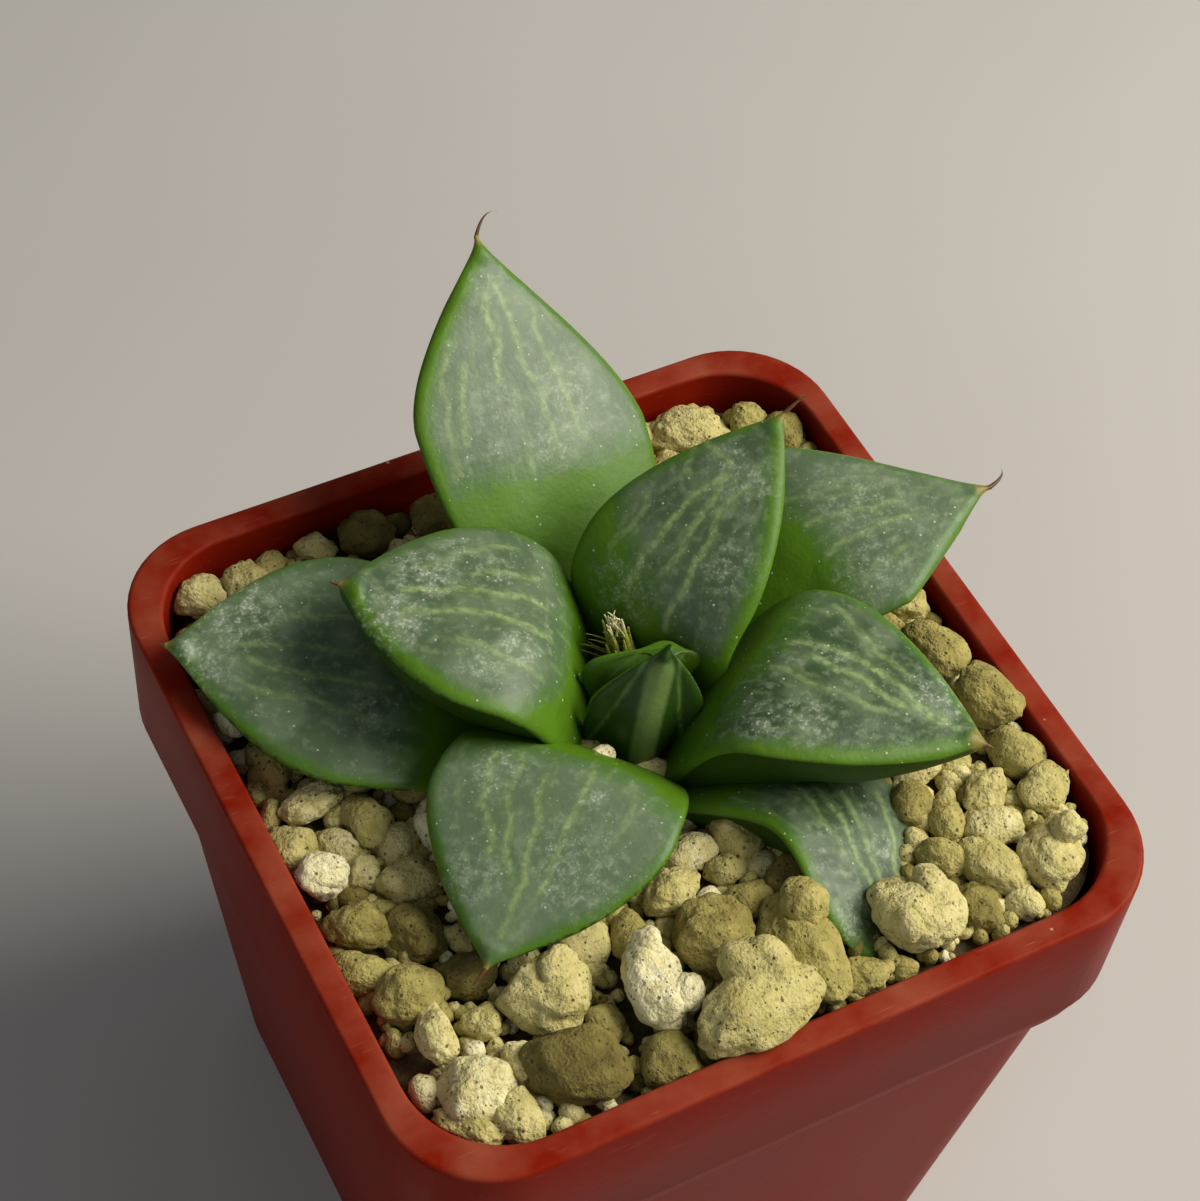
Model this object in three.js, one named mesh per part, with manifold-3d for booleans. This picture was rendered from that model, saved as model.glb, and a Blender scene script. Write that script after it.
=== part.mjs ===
// Potted haworthia: a rosette of thick, flat-topped leaves in a square plastic pot filled with pumice grit.
// Millimetres, +Z up. The origin is the centre of the pot's base, and the pot's sides lie along X and Y.

import * as THREE from 'three';
import { mergeVertices } from 'three/addons/utils/BufferGeometryUtils.js';
import Module from 'manifold-3d';

const wasm = await Module();
wasm.setup();

// ---------- driving dimensions ----------

// pot
const POT_SIDE = 70; // outside of the rim, side to side
const POT_HEIGHT = 68;
const RIM_WIDTH = 2.6; // flat top face of the rim
const RIM_EDGE = 0.4; // softening of the rim's edges
const COLLAR_HEIGHT = 15; // straight collar below the rim
const COLLAR_TAPER = 0.45;
const STEP_HEIGHT = 5; // rounded step from the collar to the body
const STEP_INSET = 2.35;
const BASE_SIDE = 55.6;
const BASE_EDGE = 0.8;
const WALL = 1.8; // wall of the body
const FLOOR = 2.4;
const CORNER_RATIO = 0.266; // corner radius over half the side
const CORNER_STEPS = 5;
const DRAIN_DIAMETER = 7;
const DRAIN_OFFSET = 15; // four drain holes, this far from the centre along X and Y

// air between neighbouring pieces
const CLEARANCE = 0.3;
const LEAF_AIR = 0.4; // round a leaf
const SHARP_LIMIT = 0.5; // keeps the air round a sharp edge from growing without end

// soil and grit
const SOIL_DEPTH = 3.4; // soil surface below the rim, at the middle
const SOIL_SLOPE = [0.02, -0.03]; // its rise per millimetre along X and Y
const GRAIN_SEED = 77;
const GRAIN_TRIES = 2600; // for each size
const GRAIN_SIZES = [2.3, 1.6, 1.15]; // radii, the largest placed first
const GRAIN_SPREAD = 0.15; // of a radius, either way
const GRAIN_SHAPE = [1.15, 0.95, 0.85]; // length, breadth and height over the radius
const GRAIN_RISE = 0.35; // of a grain's middle over the soil, in radii
const GRAIN_TILT = 0.4;
const GRAIN_SPACING = 0.86; // least distance between two grains, over their radii together
const SMALL_GRAIN = 1.9; // grains below this radius have eight sides
const BIG_LUMP = 8; // lumps longer than this have eighty
const UNEVENNESS = 0.1;
const LUMP_FLATNESS = 0.8; // height of a lump over its breadth
const WALL_MARGIN = 1.4; // from the pot's inner wall to the middle of the nearest grain
const RIM_REST = 9; // how far over the rim a lump may stand

// rosette
const PLANT_CENTRE = new THREE.Vector2(2, 2.5);
const STEM_RADIUS = 3;
const STEM_TOP = -2.5; // from the rim
const STEM_FOOT = -15;
const ROOT_DEPTH = -6; // where the leaves leave the stem, from the rim
const ROOT_THICKNESS = 5.5;
const ROOT_WIDTH = 0.62; // over the leaf's greatest width
const FLARE = 1.3; // how late a leaf widens above its root
const BEND = 3; // how tightly a leaf turns at its shoulder
const CROWN = 0.05; // rise of the window's middle over its margins, in half widths
const KEEL_POWER = 1.45; // 1 is a straight V below the leaf, 2 is a round belly
const MARGIN_DROOP = 0.06; // of the window's margins, over the leaf's depth
const MARGIN_DEPTH = 0.1; // least depth of the leaf beside its margins
const LEAF_TOP = [-1, -0.55, 0, 0.55, 1]; // places across the window, in half widths
const LEAF_UNDER = [0.84, 0.5, 0, -0.5, -0.84]; // places across the underside
const LEAF_SECTIONS = 13;
const CURVE_STEPS = 80;
const AWN_RADIUS = 0.34;
const AWN_TAPER = [1.25, 1, 0.9]; // at its foot, middle and end
const AWN_TURN = 0.25;

// One row a leaf. heading is its compass bearing from +X in degrees; shoulder, where the leaf bends, and tip
// are distances outwards, to the left and upwards from the plant's centre at rim height; roll raises the left
// margin; widest is a share of the way from shoulder to tip; shape holds how full the margins are, and how
// sharply they meet.
const LEAVES = [
  {
    name: 'leaf_6', heading: 222, root: 4, roll: 2, width: 21.2, depth: 7.5, widest: 0.18, shape: [1.75, 1.1],
    shoulder: [12.2, -1.2, 7.2], tip: [31.4, -1.2, 1.2], awn: [1.5, -0.5, -0.4],
  },
  {
    name: 'leaf_8', heading: 147, root: 2.2, roll: 3, width: 20.2, depth: 13, widest: 0.18, shape: [1.9, 1],
    shoulder: [7.4, 1.3, 10.4], tip: [25.6, 0.5, 10.6], awn: [0.7, 0.2, 0.5], rootThickness: 8, keelPower: 3.4,
  },
  {
    name: 'leaf_4', heading: 310, root: 3.6, roll: -2, width: 19.4, depth: 14, widest: 0.1, shape: [1.65, 1],
    shoulder: [9.2, 2, 10.7], tip: [30.3, 2.4, 7.2], awn: [0.6, 0.1, -0.2], rootWidth: 0.85, rootThickness: 9,
    keelPower: 3.4,
  },
  {
    name: 'leaf_2', heading: 26, root: 3.4, roll: 2, width: 16.9, depth: 8, widest: 0.1, shape: [1.71, 1.03],
    shoulder: [0.8, 1.9, 8.9], tip: [20.3, 0.7, 17.8], awn: [2.3, -0.9, 1.0], rootWidth: 0.88,
  },
  {
    name: 'leaf_1', heading: 85, root: 4, roll: 15, width: 22.9, depth: 9, widest: 0.18, shape: [1.56, 1.2],
    shoulder: [18.4, 1, 8.9], tip: [36.6, 1.4, 20.8], awn: [1.2, -2.4, 1.3],
  },
  {
    name: 'leaf_3', heading: 6, root: 4, roll: 3, width: 19.6, depth: 8, widest: 0.18, shape: [1.2, 1.16],
    shoulder: [19.6, 3.5, 7.7], tip: [36.4, -2, 7.6], awn: [2.1, 1.2, 0.3],
  },
  {
    name: 'leaf_7', heading: 154, root: 4, roll: -4, width: 23, depth: 5.5, widest: 0.21, shape: [1.86, 1.1],
    shoulder: [19.8, 0, 2.3], tip: [40.3, -1.2, 3.4], awn: [0.5, 0, 0.2],
  },
  {
    name: 'leaf_5', heading: 288, root: 4, roll: -16, width: 14.4, depth: 10.5, widest: 0.22, shape: [2, 0.95],
    shoulder: [19.2, 5.4, 3.1], tip: [34, -2.6, -3.8], awn: [0.4, -0.1, -0.3], rootWidth: 0.9, rootThickness: 9,
    keelPower: 3.4,
  },
  {
    name: 'leaf_9', heading: 243, root: 3.5, roll: 0, width: 9.6, depth: 3, widest: 0.1, shape: [1.5, 1.05],
    shoulder: [4.2, 0.4, 3.5], tip: [2.5, 2.1, 9.7], awn: [0, 0.2, 0.5], rootDepth: -3.6, rootThickness: 4.2,
    rootWidth: 1,
  },
  {
    name: 'leaf_10', heading: 246, root: 0.3, roll: 0, width: 9.8, depth: 2, widest: 0.3, shape: [2.2, 0.9],
    shoulder: [0.7, -0.4, 4.6], tip: [0.3, 2.4, 6.6], awn: [0, 0.2, 0.5], rootDepth: -2, rootThickness: 2.4,
  },
];

// Larger lumps of the grit: centre x, y and its height over the rim, then length, breadth and bearing.
const LUMPS = [
  [-26.8, -25.7, -1.6, 6.2, 5.8, 130],
  [-18.3, -20.9, -1.0, 7.0, 6.6, 145],
  [-10.2, -24.4, -0.2, 8.4, 5.4, 90],
  [-3.3, -21.8, -0.8, 6.8, 6.4, 140],
  [2.6, -25.8, -0.6, 10.2, 6.2, 94],
  [12.8, -27.6, -0.4, 7.4, 6.6, 133],
  [21.5, -26.0, -0.9, 6.8, 4.2, 101],
  [26.6, -27.2, -0.8, 6.4, 5.0, 75],
  [18.4, -28.8, -1.6, 4.6, 4.2, 136],
  [-18.6, -28.0, -1.2, 9.0, 6.4, 158],
  [-22.5, -25.0, -1.6, 3.8, 3.2, 91],
  [-27.6, -20.4, -1.2, 5.4, 3.2, 79],
  [-24.9, -29.4, -1.6, 4.6, 3.6, 79],
  [-28.6, -28.4, -2.0, 5.6, 3.0, 136],
  [-28.0, -15.6, -2.0, 5.6, 5.2, 20],
  [-29.8, -2.6, -1.8, 4.4, 4.2, 131],
  [-29.2, -8.0, -2.2, 5.0, 4.4, 172],
  [-24.6, -10.6, -2.8, 5.6, 4.6, 96],
  [-27.4, 5.0, -2.6, 5.4, 3.4, 6],
  [-24.0, 1.4, -2.6, 4.8, 3.8, 94],
  [-27.6, 29.0, -2.4, 4.8, 4.2, 141],
  [-23.4, 27.6, -2.2, 6.8, 4.2, 74],
  [-15.8, 30.2, -3.0, 3.6, 3.2, 156],
  [-10.9, 29.6, -3.2, 5.4, 4.6, 141],
  [-4.6, 29.4, -3.2, 5.0, 4.0, 60],
  [22.0, 28.6, -2.6, 7.6, 4.8, 166],
  [27.6, 27.4, -2.6, 3.8, 3.6, 152],
  [29.4, 2.0, -1.6, 5.2, 4.4, 100],
  [29.0, -4.6, -1.0, 6.4, 5.2, 121],
  [6.4, -30.0, -1.8, 3.8, 3.2, 170],
  [-4.4, -16.2, -1.6, 4.8, 4.4, 167],
  [-23.6, -20.4, -2.0, 3.8, 3.0, 1],
  [-30.8, 14.4, -1.6, 2.8, 2.4, 124],
  [29.6, -21.4, -1.4, 4.8, 4.4, 60],
  [25.4, -18.6, -1.8, 4.6, 3.8, 20],
];

// The two lumps that lie against the rim and reach over its top face.
const RIM_LUMPS = [
  [-3.6, -30.2, 1.2, 12.6, 6.6, 12],
  [30.0, -11.8, 0.4, 7.0, 5.0, 112],
];

// The dried stump of a flower stalk: its foot and top from the plant's centre at rim height, and its fibres.
const STALK_FOOT = [0.1, 0.9, -2];
const STALK_TOP = [-0.6, 3.1, 6.6];
const STALK_RADII = [1.35, 1.05];
const FIBRES = 8;
const FIBRE_LENGTH = 3;
const FIBRE_RADII = [0.34, 0.31];
const FIBRE_ROOT = 0.8; // how deep the fibres start below the stump's top
const FIBRE_INSET = 0.35; // and how far inside its skin
const FIBRE_SPREAD = 0.35;
const LEAVES_BEFORE_STALK = 4; // the leaves that the stalk gives way to

const LOOKS = {
  pot: { color: 0x8f3a20, roughness: 0.45 },
  substrate: { color: 0xb9ac7c, roughness: 0.95 },
  stem: { color: 0x6f8a3a, roughness: 0.6 },
  leaf: { color: 0x4c6b3c, roughness: 0.5 },
  stalk: { color: 0x8f8a55, roughness: 0.9 },
};

// ---------- helpers ----------

function plain(geometry) {
  geometry.deleteAttribute('normal');
  geometry.deleteAttribute('uv');
  return geometry;
}

function solidOf(geometry) {
  const merged = mergeVertices(geometry, 1e-5);
  const mesh = new wasm.Mesh({
    numProp: 3,
    vertProperties: new Float32Array(merged.attributes.position.array),
    triVerts: new Uint32Array(merged.index.array),
  });
  return new wasm.Manifold(mesh);
}

// The largest body of a solid, which leaves out any scrap that a cut has made.
function geometryOf(solid) {
  const bodies = solid.decompose();
  bodies.sort((a, b) => b.volume() - a.volume());
  const mesh = bodies[0].getMesh();
  const geometry = new THREE.BufferGeometry();
  geometry.setAttribute('position', new THREE.BufferAttribute(new Float32Array(mesh.vertProperties), 3));
  geometry.setIndex(new THREE.BufferAttribute(new Uint32Array(mesh.triVerts), 1));
  geometry.computeVertexNormals();
  return geometry;
}

// A closed skin over rings of equal count, with a fan on the first and the last ring.
function skin(rings) {
  const count = rings[0].length;
  const points = rings.flat();
  const index = [];
  for (let r = 0; r + 1 < rings.length; r++) {
    for (let i = 0; i < count; i++) {
      const j = (i + 1) % count;
      const [a, b, c, d] = [r * count + i, r * count + j, (r + 1) * count + i, (r + 1) * count + j];
      index.push(a, b, d, a, d, c);
    }
  }
  for (const [ring, first] of [[0, true], [rings.length - 1, false]]) {
    const middle = new THREE.Vector3();
    rings[ring].forEach((p) => middle.addScaledVector(p, 1 / count));
    const m = points.push(middle) - 1;
    for (let i = 0; i < count; i++) {
      const [a, b] = [ring * count + i, ring * count + ((i + 1) % count)];
      index.push(...(first ? [b, a, m] : [a, b, m]));
    }
  }
  const geometry = new THREE.BufferGeometry().setFromPoints(points);
  geometry.setIndex(index);
  return geometry;
}

// The same skin moved outwards all round, and its sharp edges further, so that no face lies too near.
function swollen(geometry, amount) {
  const place = geometry.attributes.position;
  const index = geometry.index.array;
  const corner = (i) => new THREE.Vector3().fromBufferAttribute(place, i);
  const facings = Array.from({ length: place.count }, () => []);
  for (let f = 0; f < index.length; f += 3) {
    const [a, b, c] = [corner(index[f]), corner(index[f + 1]), corner(index[f + 2])];
    const facing = b.sub(a).cross(c.sub(a)).normalize();
    for (let k = 0; k < 3; k++) facings[index[f + k]].push(facing);
  }
  const moved = facings.map((around, i) => {
    // least squares: the shift that moves all the planes round a corner outwards alike, as nearly as it can
    const sum = new THREE.Vector3();
    const products = new THREE.Matrix3().multiplyScalar(SHARP_LIMIT);
    for (const facing of around) {
      sum.add(facing);
      const axes = facing.toArray();
      axes.forEach((u, row) => axes.forEach((v, column) => (products.elements[3 * column + row] += u * v)));
    }
    return corner(i).addScaledVector(sum.applyMatrix3(products.invert()), amount);
  });
  const grown = new THREE.BufferGeometry().setFromPoints(moved);
  grown.setIndex([...index]);
  return grown;
}

function makeRandom(seed) {
  let state = seed;
  return () => {
    state = (state * 16807) % 2147483647;
    return state / 2147483647;
  };
}

// ---------- pot ----------

// A square with round corners, at one height.
function squareRing(half, z) {
  const radius = half * CORNER_RATIO;
  const ring = [];
  for (let corner = 0; corner < 4; corner++) {
    const turn = (corner * Math.PI) / 2;
    const centre = new THREE.Vector2(half - radius, half - radius).rotateAround(new THREE.Vector2(), turn);
    for (let i = 0; i <= CORNER_STEPS; i++) {
      const a = turn + ((i / CORNER_STEPS) * Math.PI) / 2;
      ring.push(new THREE.Vector3(centre.x + radius * Math.cos(a), centre.y + radius * Math.sin(a), z));
    }
  }
  return ring;
}

const rimHalf = POT_SIDE / 2;
const innerHalf = rimHalf - RIM_WIDTH;
const collarFoot = POT_HEIGHT - COLLAR_HEIGHT;
const bodyTop = collarFoot - STEP_HEIGHT;
const bodyHalf = rimHalf - STEP_INSET;
const baseHalf = BASE_SIDE / 2;

// Half sides and heights of the pot's outside, from the base up, and of its inside, from the rim down.
const OUTSIDE = [
  [baseHalf - BASE_EDGE, 0],
  [baseHalf, BASE_EDGE],
  [bodyHalf, bodyTop],
  [rimHalf - 2 * COLLAR_TAPER, bodyTop + 0.55 * STEP_HEIGHT],
  [rimHalf - COLLAR_TAPER, collarFoot],
  [rimHalf, POT_HEIGHT - 3 * RIM_EDGE],
  [rimHalf, POT_HEIGHT - RIM_EDGE],
  [rimHalf - RIM_EDGE, POT_HEIGHT],
];
const INSIDE = [
  [innerHalf + RIM_EDGE, POT_HEIGHT],
  [innerHalf, POT_HEIGHT - RIM_EDGE],
  [innerHalf - RIM_EDGE, collarFoot + 1],
  [bodyHalf - WALL, bodyTop - 1],
  [baseHalf - WALL, FLOOR],
];

function potSolid() {
  const rings = [...OUTSIDE, ...INSIDE].map(([half, z]) => squareRing(half, z));
  let pot = solidOf(skin(rings));
  for (const sx of [-1, 1]) {
    for (const sy of [-1, 1]) {
      const drill = new THREE.CylinderGeometry(DRAIN_DIAMETER / 2, DRAIN_DIAMETER / 2, 4 * FLOOR, 12);
      drill.rotateX(Math.PI / 2);
      drill.translate(sx * DRAIN_OFFSET, sy * DRAIN_OFFSET, 0);
      pot = pot.subtract(solidOf(plain(drill)));
    }
  }
  return pot;
}

// ---------- leaves ----------

const UP = new THREE.Vector3(0, 0, 1);

// A conic from a to c that leans towards b, walked at even lengths.
function conic(a, b, c) {
  const points = [];
  for (let i = 0; i <= CURVE_STEPS; i++) {
    const t = i / CURVE_STEPS;
    const [wa, wb, wc] = [(1 - t) ** 2, 2 * BEND * t * (1 - t), t ** 2];
    const p = new THREE.Vector3().addScaledVector(a, wa).addScaledVector(b, wb).addScaledVector(c, wc);
    points.push(p.divideScalar(wa + wb + wc));
  }
  const lengths = [0];
  for (let i = 1; i <= CURVE_STEPS; i++) lengths.push(lengths[i - 1] + points[i].distanceTo(points[i - 1]));
  const total = lengths[CURVE_STEPS];
  const at = (s) => {
    const length = THREE.MathUtils.clamp(s, 0, 1) * total;
    let i = 1;
    while (i < CURVE_STEPS && lengths[i] < length) i++;
    const share = (length - lengths[i - 1]) / (lengths[i] - lengths[i - 1]);
    return points[i - 1].clone().lerp(points[i], share);
  };
  return { at, bend: lengths[CURVE_STEPS / 2] / total };
}

// The lines that a leaf hangs on, along the middle of its face and its keel, and its half width along them.
function leafLines(leaf) {
  const bearing = THREE.MathUtils.degToRad(leaf.heading);
  const out = new THREE.Vector3(Math.cos(bearing), Math.sin(bearing), 0);
  const side = new THREE.Vector3(-Math.sin(bearing), Math.cos(bearing), 0);
  const centre = new THREE.Vector3(PLANT_CENTRE.x, PLANT_CENTRE.y, POT_HEIGHT);
  const place = (outwards, left, up) =>
    centre.clone().addScaledVector(out, outwards).addScaledVector(side, left).addScaledVector(UP, up);

  const rootDepth = leaf.rootDepth ?? ROOT_DEPTH;
  const shoulder = place(...leaf.shoulder);
  const tip = place(...leaf.tip);
  const face = conic(place(leaf.root, 0, rootDepth), shoulder, tip);
  const rise = new THREE.Vector2(leaf.tip[0] - leaf.root, leaf.tip[2] - rootDepth).normalize();
  const under = out.clone().multiplyScalar(rise.y).addScaledVector(UP, -rise.x);
  const back = place(leaf.root + (leaf.rootThickness ?? ROOT_THICKNESS), 0, rootDepth);
  const belly = shoulder.clone().addScaledVector(under, leaf.depth);
  const keel = conic(back, belly, tip.clone().addScaledVector(under, 2 * AWN_RADIUS));

  const widest = face.bend + leaf.widest * (1 - face.bend);
  const [fullness, point] = leaf.shape;
  const half = (s) => {
    const rootWidth = leaf.rootWidth ?? ROOT_WIDTH;
    const below = rootWidth + (1 - rootWidth) * Math.sin((Math.min(s / widest, 1) * Math.PI) / 2) ** FLARE;
    const above = (1 - (Math.max(s - widest, 0) / (1 - widest)) ** fullness) ** point;
    return (leaf.width / 2) * below * above;
  };
  return { out, side, under, tip, face, keel, half };
}

// Any air round a leaf makes it fatter, to cut the room for it out of its neighbours.
function leafSolid(leaf, air = 0) {
  const { out, side, under, tip, face, keel, half } = leafLines(leaf);
  const roll = THREE.MathUtils.degToRad(leaf.roll);
  const across = side.clone().multiplyScalar(Math.cos(roll)).addScaledVector(UP, Math.sin(roll));
  const rings = [];
  for (let k = 0; k < LEAF_SECTIONS; k++) {
    const s = k / LEAF_SECTIONS;
    const middle = face.at(s);
    const down = keel.at(s).sub(middle);
    const depth = down.length();
    down.normalize();
    const place = (x, drop) =>
      middle.clone().addScaledVector(across, x * half(s)).addScaledVector(down, drop);
    const top = LEAF_TOP.map((x) => {
      const crown = CROWN * half(s) * (1 - x * x);
      return place(x, MARGIN_DROOP * depth * Math.abs(x) ** 3 - crown);
    });
    const bottom = LEAF_UNDER.map((x) => {
      const share = 1 - Math.abs(x) ** (leaf.keelPower ?? KEEL_POWER);
      return place(x, depth * Math.max(share, MARGIN_DEPTH));
    });
    rings.push([...top, ...bottom]);
  }

  // the bristle at the tip
  const awn = new THREE.Vector3();
  [out, side, UP].forEach((direction, i) => awn.addScaledVector(direction, leaf.awn[i]));
  const count = rings[0].length;
  AWN_TAPER.forEach((size, step) => {
    const middle = tip.clone().addScaledVector(awn, step / 2).addScaledVector(under, AWN_RADIUS);
    const ring = [];
    for (let i = 0; i < count; i++) {
      const a = Math.PI - (i / count) * 2 * Math.PI + AWN_TURN;
      const [x, y] = [AWN_RADIUS * size * Math.cos(a), AWN_RADIUS * size * Math.sin(a)];
      ring.push(middle.clone().addScaledVector(across, x).addScaledVector(under, -y));
    }
    rings.push(ring);
  });
  return solidOf(swollen(skin(rings.reverse()), air));
}

// ---------- substrate ----------

// Places along the belly of each leaf, with the breadth of the leaf there.
const bellies = LEAVES.flatMap((leaf) => {
  const { keel, half } = leafLines(leaf);
  return [0.2, 0.35, 0.5, 0.65, 0.8].map((s) => ({ centre: keel.at(s), reach: 0.75 * half(s) }));
});

const soilHeight = (x, y) => POT_HEIGHT - SOIL_DEPTH + SOIL_SLOPE[0] * x + SOIL_SLOPE[1] * y;

// True where a leaf's belly lies on the soil, so that no grain fits below it.
function underLeaf(x, y, height) {
  return bellies.some((b) => b.centre.z < height && Math.hypot(b.centre.x - x, b.centre.y - y) < b.reach);
}

// True inside the square with round corners that the grains may fill.
function insideWall(x, y) {
  const reach = innerHalf - WALL_MARGIN;
  const corner = rimHalf * CORNER_RATIO;
  const past = (v) => Math.max(Math.abs(v) - reach + corner, 0);
  return Math.hypot(past(x), past(y)) <= corner;
}

// A stone is a faceted ball, uneven by the seeded rule, stretched, turned and sunk to its place.
function stoneSolid({ centre, size, bearing, tilt, detail }, random) {
  const ball = detail < 0 ? new THREE.OctahedronGeometry(1.1) : new THREE.IcosahedronGeometry(1, detail);
  const stone = mergeVertices(plain(ball), 1e-4);
  const p = stone.attributes.position;
  for (let i = 0; i < p.count; i++) {
    const r = 1 + UNEVENNESS * (2 * random() - 1);
    p.setXYZ(i, p.getX(i) * r, p.getY(i) * r, p.getZ(i) * r);
  }
  stone.scale(size.x, size.y, size.z);
  stone.rotateX(tilt);
  stone.rotateZ(bearing);
  stone.translate(centre.x, centre.y, centre.z);
  return solidOf(stone);
}

function lump([x, y, z, length, breadth, bearing]) {
  return {
    centre: new THREE.Vector3(x, y, POT_HEIGHT + z),
    size: new THREE.Vector3(length, breadth, LUMP_FLATNESS * breadth).divideScalar(2),
    bearing: THREE.MathUtils.degToRad(bearing),
    tilt: 0,
    radius: (length + breadth) / 4,
    detail: length > BIG_LUMP ? 1 : 0,
  };
}

// Grains are thrown at random and kept where they clear the grains that lie there already.
function grains() {
  const random = makeRandom(GRAIN_SEED);
  const placed = [...RIM_LUMPS, ...LUMPS].map(lump);
  const crowded = (x, y, r) =>
    placed.some((s) => Math.hypot(s.centre.x - x, s.centre.y - y) <= GRAIN_SPACING * (s.radius + r));
  for (const radius of GRAIN_SIZES) {
    for (let i = 0; i < GRAIN_TRIES; i++) {
      const [x, y] = [(2 * random() - 1) * innerHalf, (2 * random() - 1) * innerHalf];
      const r = radius * (1 + GRAIN_SPREAD * (2 * random() - 1));
      const soil = soilHeight(x, y);
      if (!insideWall(x, y) || crowded(x, y, r) || underLeaf(x, y, soil + r)) continue;
      placed.push({
        centre: new THREE.Vector3(x, y, soil + GRAIN_RISE * r),
        size: new THREE.Vector3(...GRAIN_SHAPE).multiplyScalar(r),
        bearing: random() * Math.PI,
        tilt: GRAIN_TILT * (2 * random() - 1),
        radius: r,
        detail: radius < SMALL_GRAIN ? -1 : 0,
      });
    }
  }
  return placed.map((stone) => stoneSolid(stone, random));
}

// The soil fills the pot from its floor up, with a sloping top.
function soilSolid() {
  const rings = INSIDE.slice(1).map(([half, z]) => squareRing(half - CLEARANCE, z)).reverse();
  rings[0].forEach((p) => p.setZ(FLOOR + CLEARANCE));
  rings.at(-1).forEach((p) => p.setZ(soilHeight(p.x, p.y)));
  return solidOf(skin(rings));
}

// The space that the grit may fill: inside the walls, and for the lumps on the rim, also above its top face.
function insidePot() {
  const foot = squareRing(innerHalf - RIM_EDGE - CLEARANCE, collarFoot);
  return solidOf(skin([foot, squareRing(innerHalf - CLEARANCE, POT_HEIGHT + RIM_REST)]));
}

function aboveRim() {
  const foot = squareRing(rimHalf, POT_HEIGHT + CLEARANCE);
  return solidOf(skin([foot, squareRing(rimHalf, POT_HEIGHT + RIM_REST)]));
}

function substrateSolid() {
  const stones = grains();
  const open = insidePot().add(aboveRim());
  const onRim = stones.splice(0, RIM_LUMPS.length).map((stone) => stone.intersect(open));
  const grit = stones.reduce((all, stone) => all.add(stone)).intersect(insidePot());
  const filled = onRim.reduce((all, stone) => all.add(stone), soilSolid().add(grit));
  const bare = filled.subtract(stemSolid(CLEARANCE)).subtract(stalkSolid(CLEARANCE));
  return LEAVES.reduce((soil, leaf) => soil.subtract(leafSolid(leaf, LEAF_AIR)), bare);
}

// ---------- stem and flower stalk ----------

function stemSolid(air = 0) {
  const narrow = 0.7 * STEM_RADIUS + air;
  const profile = [
    [0, STEM_FOOT - air],
    [narrow, STEM_FOOT - air],
    [STEM_RADIUS + air, STEM_FOOT + 3],
    [STEM_RADIUS + air, STEM_TOP - 1],
    [narrow, STEM_TOP + air],
    [0, STEM_TOP + air],
  ].map(([r, z]) => new THREE.Vector2(r, z));
  const stem = plain(new THREE.LatheGeometry(profile, 14));
  stem.rotateX(Math.PI / 2);
  stem.translate(PLANT_CENTRE.x, PLANT_CENTRE.y, POT_HEIGHT);
  return solidOf(stem);
}

// A tapering rod between two points, with flat ends.
function rodSolid(from, to, radii, sides, air) {
  const along = to.clone().sub(from);
  const length = along.length() + 2 * air;
  const rod = plain(new THREE.CylinderGeometry(radii[1] + air, radii[0] + air, length, sides));
  const turn = new THREE.Quaternion().setFromUnitVectors(new THREE.Vector3(0, 1, 0), along.normalize());
  rod.applyQuaternion(turn);
  rod.translate(...from.clone().lerp(to, 0.5).toArray());
  return solidOf(rod);
}

function stalkSolid(air = 0) {
  const centre = new THREE.Vector3(PLANT_CENTRE.x, PLANT_CENTRE.y, POT_HEIGHT);
  const foot = new THREE.Vector3(...STALK_FOOT).add(centre);
  const top = new THREE.Vector3(...STALK_TOP).add(centre);
  const axis = top.clone().sub(foot).normalize();
  let stalk = rodSolid(foot, top, STALK_RADII, 9, air);
  for (let i = 0; i < FIBRES; i++) {
    const a = (i / FIBRES) * 2 * Math.PI;
    const lean = new THREE.Vector3(Math.cos(a), Math.sin(a), 0);
    const start = top.clone();
    start.addScaledVector(axis, -FIBRE_ROOT).addScaledVector(lean, STALK_RADII[1] - FIBRE_INSET);
    const length = FIBRE_LENGTH * (0.75 + 0.25 * Math.sin(5 * i));
    const end = start.clone().addScaledVector(axis, length).addScaledVector(lean, length * FIBRE_SPREAD);
    stalk = stalk.add(rodSolid(start, end, FIBRE_RADII, 5, air));
  }
  return stalk;
}

// ---------- the plant in its pot ----------

const object = new THREE.Group();

function add(name, solid, look) {
  const mesh = new THREE.Mesh(geometryOf(solid), new THREE.MeshStandardMaterial({ ...look, metalness: 0 }));
  mesh.name = name;
  object.add(mesh);
}

// The leaves of the rosette press on each other, so each piece gives way to the ones that grew before it.
const rooms = [stemSolid(CLEARANCE)];

function grow(name, solid, room, look) {
  add(name, rooms.reduce((rest, other) => rest.subtract(other), solid), look);
  rooms.push(room);
}

const growLeaf = (leaf) => grow(leaf.name, leafSolid(leaf), leafSolid(leaf, LEAF_AIR), LOOKS.leaf);

add('pot', potSolid(), LOOKS.pot);
add('stem', stemSolid(), LOOKS.stem);
LEAVES.slice(0, LEAVES_BEFORE_STALK).forEach(growLeaf);
grow('flower_stalk', stalkSolid(), stalkSolid(CLEARANCE), LOOKS.stalk);
LEAVES.slice(LEAVES_BEFORE_STALK).forEach(growLeaf);
add('substrate', substrateSolid(), LOOKS.substrate);

export default object;
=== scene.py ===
# %% [markdown]
# # A windowed haworthia in a square pot
# The object is a small rosette of thick leaves with see-through tops, in a brick-red plastic pot filled
# with pumice grit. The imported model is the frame: it says where every leaf, wall and stone lies, and each
# new piece is made over its node in metres. The lesson goes from the frame and the camera to the pot, the
# leaves, the grit and the dried flower stalk, with each finish next to the piece that wears it.

# %% Load the frame
import math
import random

import bmesh
import bpy
import numpy as np
from mathutils import Matrix, Vector, noise


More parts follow.
